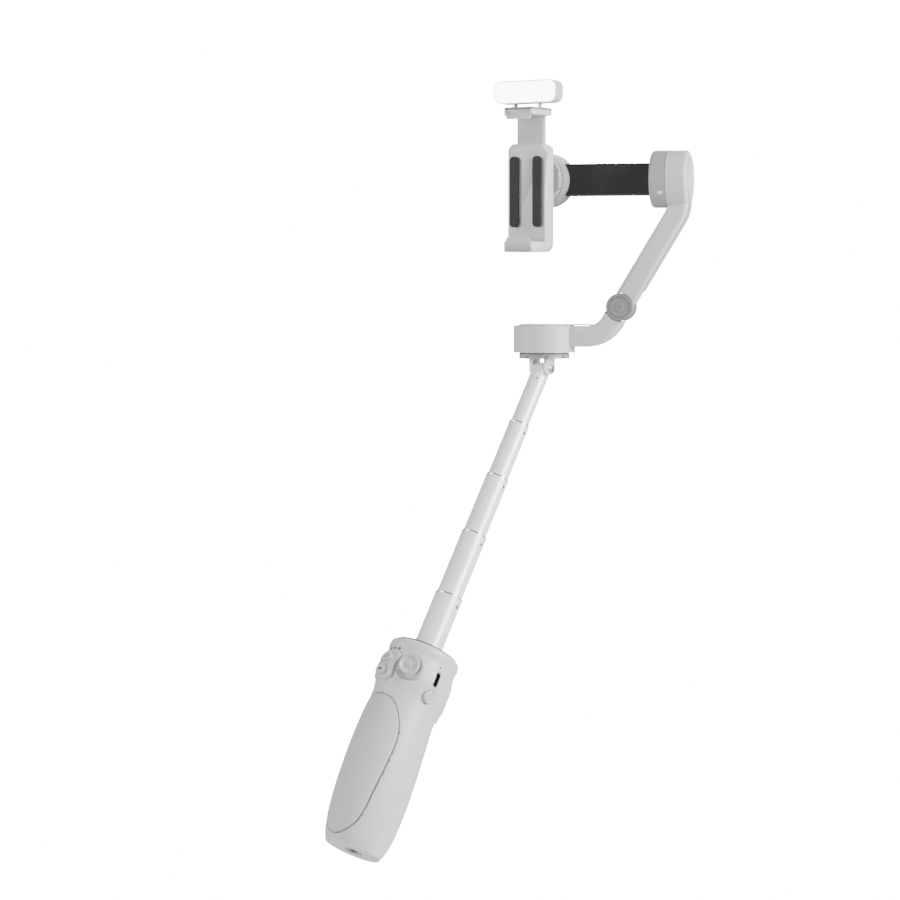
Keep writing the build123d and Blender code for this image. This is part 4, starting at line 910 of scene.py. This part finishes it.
# %% Power key and status light
power_frame = key_frame("power_button", "power_press")
bead("power_ring", power_frame, 2.0 * MM, 0.18 * MM, 0.6, "power_key", grey_mark)
plate("power_dash", power_frame, 0.5 * MM, 1.6 * MM, 0.15 * MM, 0.2 * MM, "power_key", grey_mark,
      sink=0.4)

lights = [handle_back @ vertex.co for vertex in dressed["status_lights"].data.vertices]
left_edge = min(point.x for point in lights)
left_light = [point for point in lights if point.x < left_edge + 1.5 * MM]
front = min(left_light, key=lambda point: point.y)
middle_height = sum(point.z for point in left_light) / len(left_light)
light_aim = Vector((left_edge + 0.7 * MM, 0, middle_height))
light_start = light_aim + Vector((-0.012, -0.05, 0))
lit = surface_frame("status_lights", handle_frame @ light_start,
                    handle_frame @ Vector((left_edge + 0.75 * MM, front.y, middle_height)), rod_axis)
dome = new_primitive(bpy.ops.mesh.primitive_uv_sphere_add, segments=24, ring_count=12, radius=0.85 * MM)
bpy.ops.transform.resize(value=(1, 1, 0.3))
settle(dome, "lit_status_light", lit, "handle", green_glow, angle=60)

# %% [markdown]
# ## Head, clamp and lamp
# A bead round the fold joint's disc and round the roll motor's back shows where a cover is pressed
# in. The tilt motor has a small pale index mark by its seam, and the lamp a key on its back.

# %% Beads, mark and lamp key
fold = Vector(joints["arm_fold"]["pos_m"])
fold_axis = Vector(joints["arm_fold"]["axis"])
fold_half = reach_along("outer_knuckle", fold, -fold_axis)
disc_frame = frame_matrix(fold - fold_axis * fold_half, (0, 0, 1), -fold_axis)
bead("fold_bead", disc_frame, 6.4 * MM, 0.25 * MM, 0.8, "lower_arm_body", trim)
screw_head("fold_cap", disc_frame, 3.0 * MM, 0.5 * MM, "lower_arm_body", knuckle)

back_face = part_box("roll_housing")[1].y
roll_frame = frame_matrix(Vector((arm_centre.x, back_face, arm_centre.z)), (1, 0, 0), (0, 1, 0))
bead("roll_bead", roll_frame, 12.0 * MM, 0.3 * MM, 0.8, "tilt_body", trim)
for count in range(4):
    turn = Matrix.Rotation(math.radians(45 + 90 * count), 4, "Z")
    spot = roll_frame @ turn @ Matrix.Translation((9.0 * MM, 0, 0))
    screw_head(f"roll_screw_{count}", spot, 1.3 * MM, 0.5 * MM, "tilt_body", steel)

mark_start = arm_frame @ Vector((75.6 * MM, -40 * MM, -12 * MM))
mark_aim = arm_frame @ Vector((75.6 * MM, 0, -7 * MM))
plate("tilt_index_mark", surface_frame("tilt_rotor", mark_start, mark_aim, (0, 0, 1)), 3.2 * MM, 1.8 * MM,
      0.2 * MM, 0.5 * MM, "tilt_body", white_mark, sink=0.4)

lamp_centre = middle_of("light_housing")
lamp_back = surface_frame("light_housing", lamp_centre + Vector((0, 0.05, 0)), lamp_centre, (0, 0, 1))
plate("lamp_key", lamp_back, 9.0 * MM, 3.6 * MM, 0.9 * MM, 1.6 * MM, "fill_light", trim, sink=0.3)
plate("lamp_charge_light", lamp_back @ Matrix.Translation((8.0 * MM, 0, 0)), 1.4 * MM, 1.4 * MM, 0.3 * MM,
      0.6 * MM, "fill_light", lens, sink=0.4)

# %% [markdown]
# Three raised bars give the finger a hold on the trigger, two on the zoom rocker. A dark bead
# edges the tripod socket under the handle.

# %% Trigger bars, rocker bars and the socket's edge
trigger_centre = middle_of("trigger")
handle_out = rod_axis.cross(hinge_axis)
for count in range(3):
    spot = trigger_centre - rod_axis * (1.0 + 3.2 * (count - 1)) * MM
    held = surface_frame("trigger", spot + handle_out * 0.05, spot, rod_axis)
    plate(f"trigger_bar_{count}", held, 8.0 * MM, 0.9 * MM, 0.7 * MM, 0.4 * MM, "trigger", trim,
          sink=0.45)
rocker_centre = middle_of("zoom_rocker")
for count, shift in enumerate((-5.6, 5.6)):
    spot = rocker_centre + rod_axis * shift * MM
    held = surface_frame("zoom_rocker", spot - hinge_axis * 0.05, spot, rod_axis)
    plate(f"rocker_bar_{count}", held, 3.4 * MM, 0.7 * MM, 0.5 * MM, 0.3 * MM, "zoom_key", white_mark,
          sink=0.4)
socket_frame = frame_matrix(Vector((0, 0, 0)), hinge_axis, -rod_axis)
bead("socket_edge", socket_frame, 4.7 * MM, 0.35 * MM, 0.6, "handle", rubber)
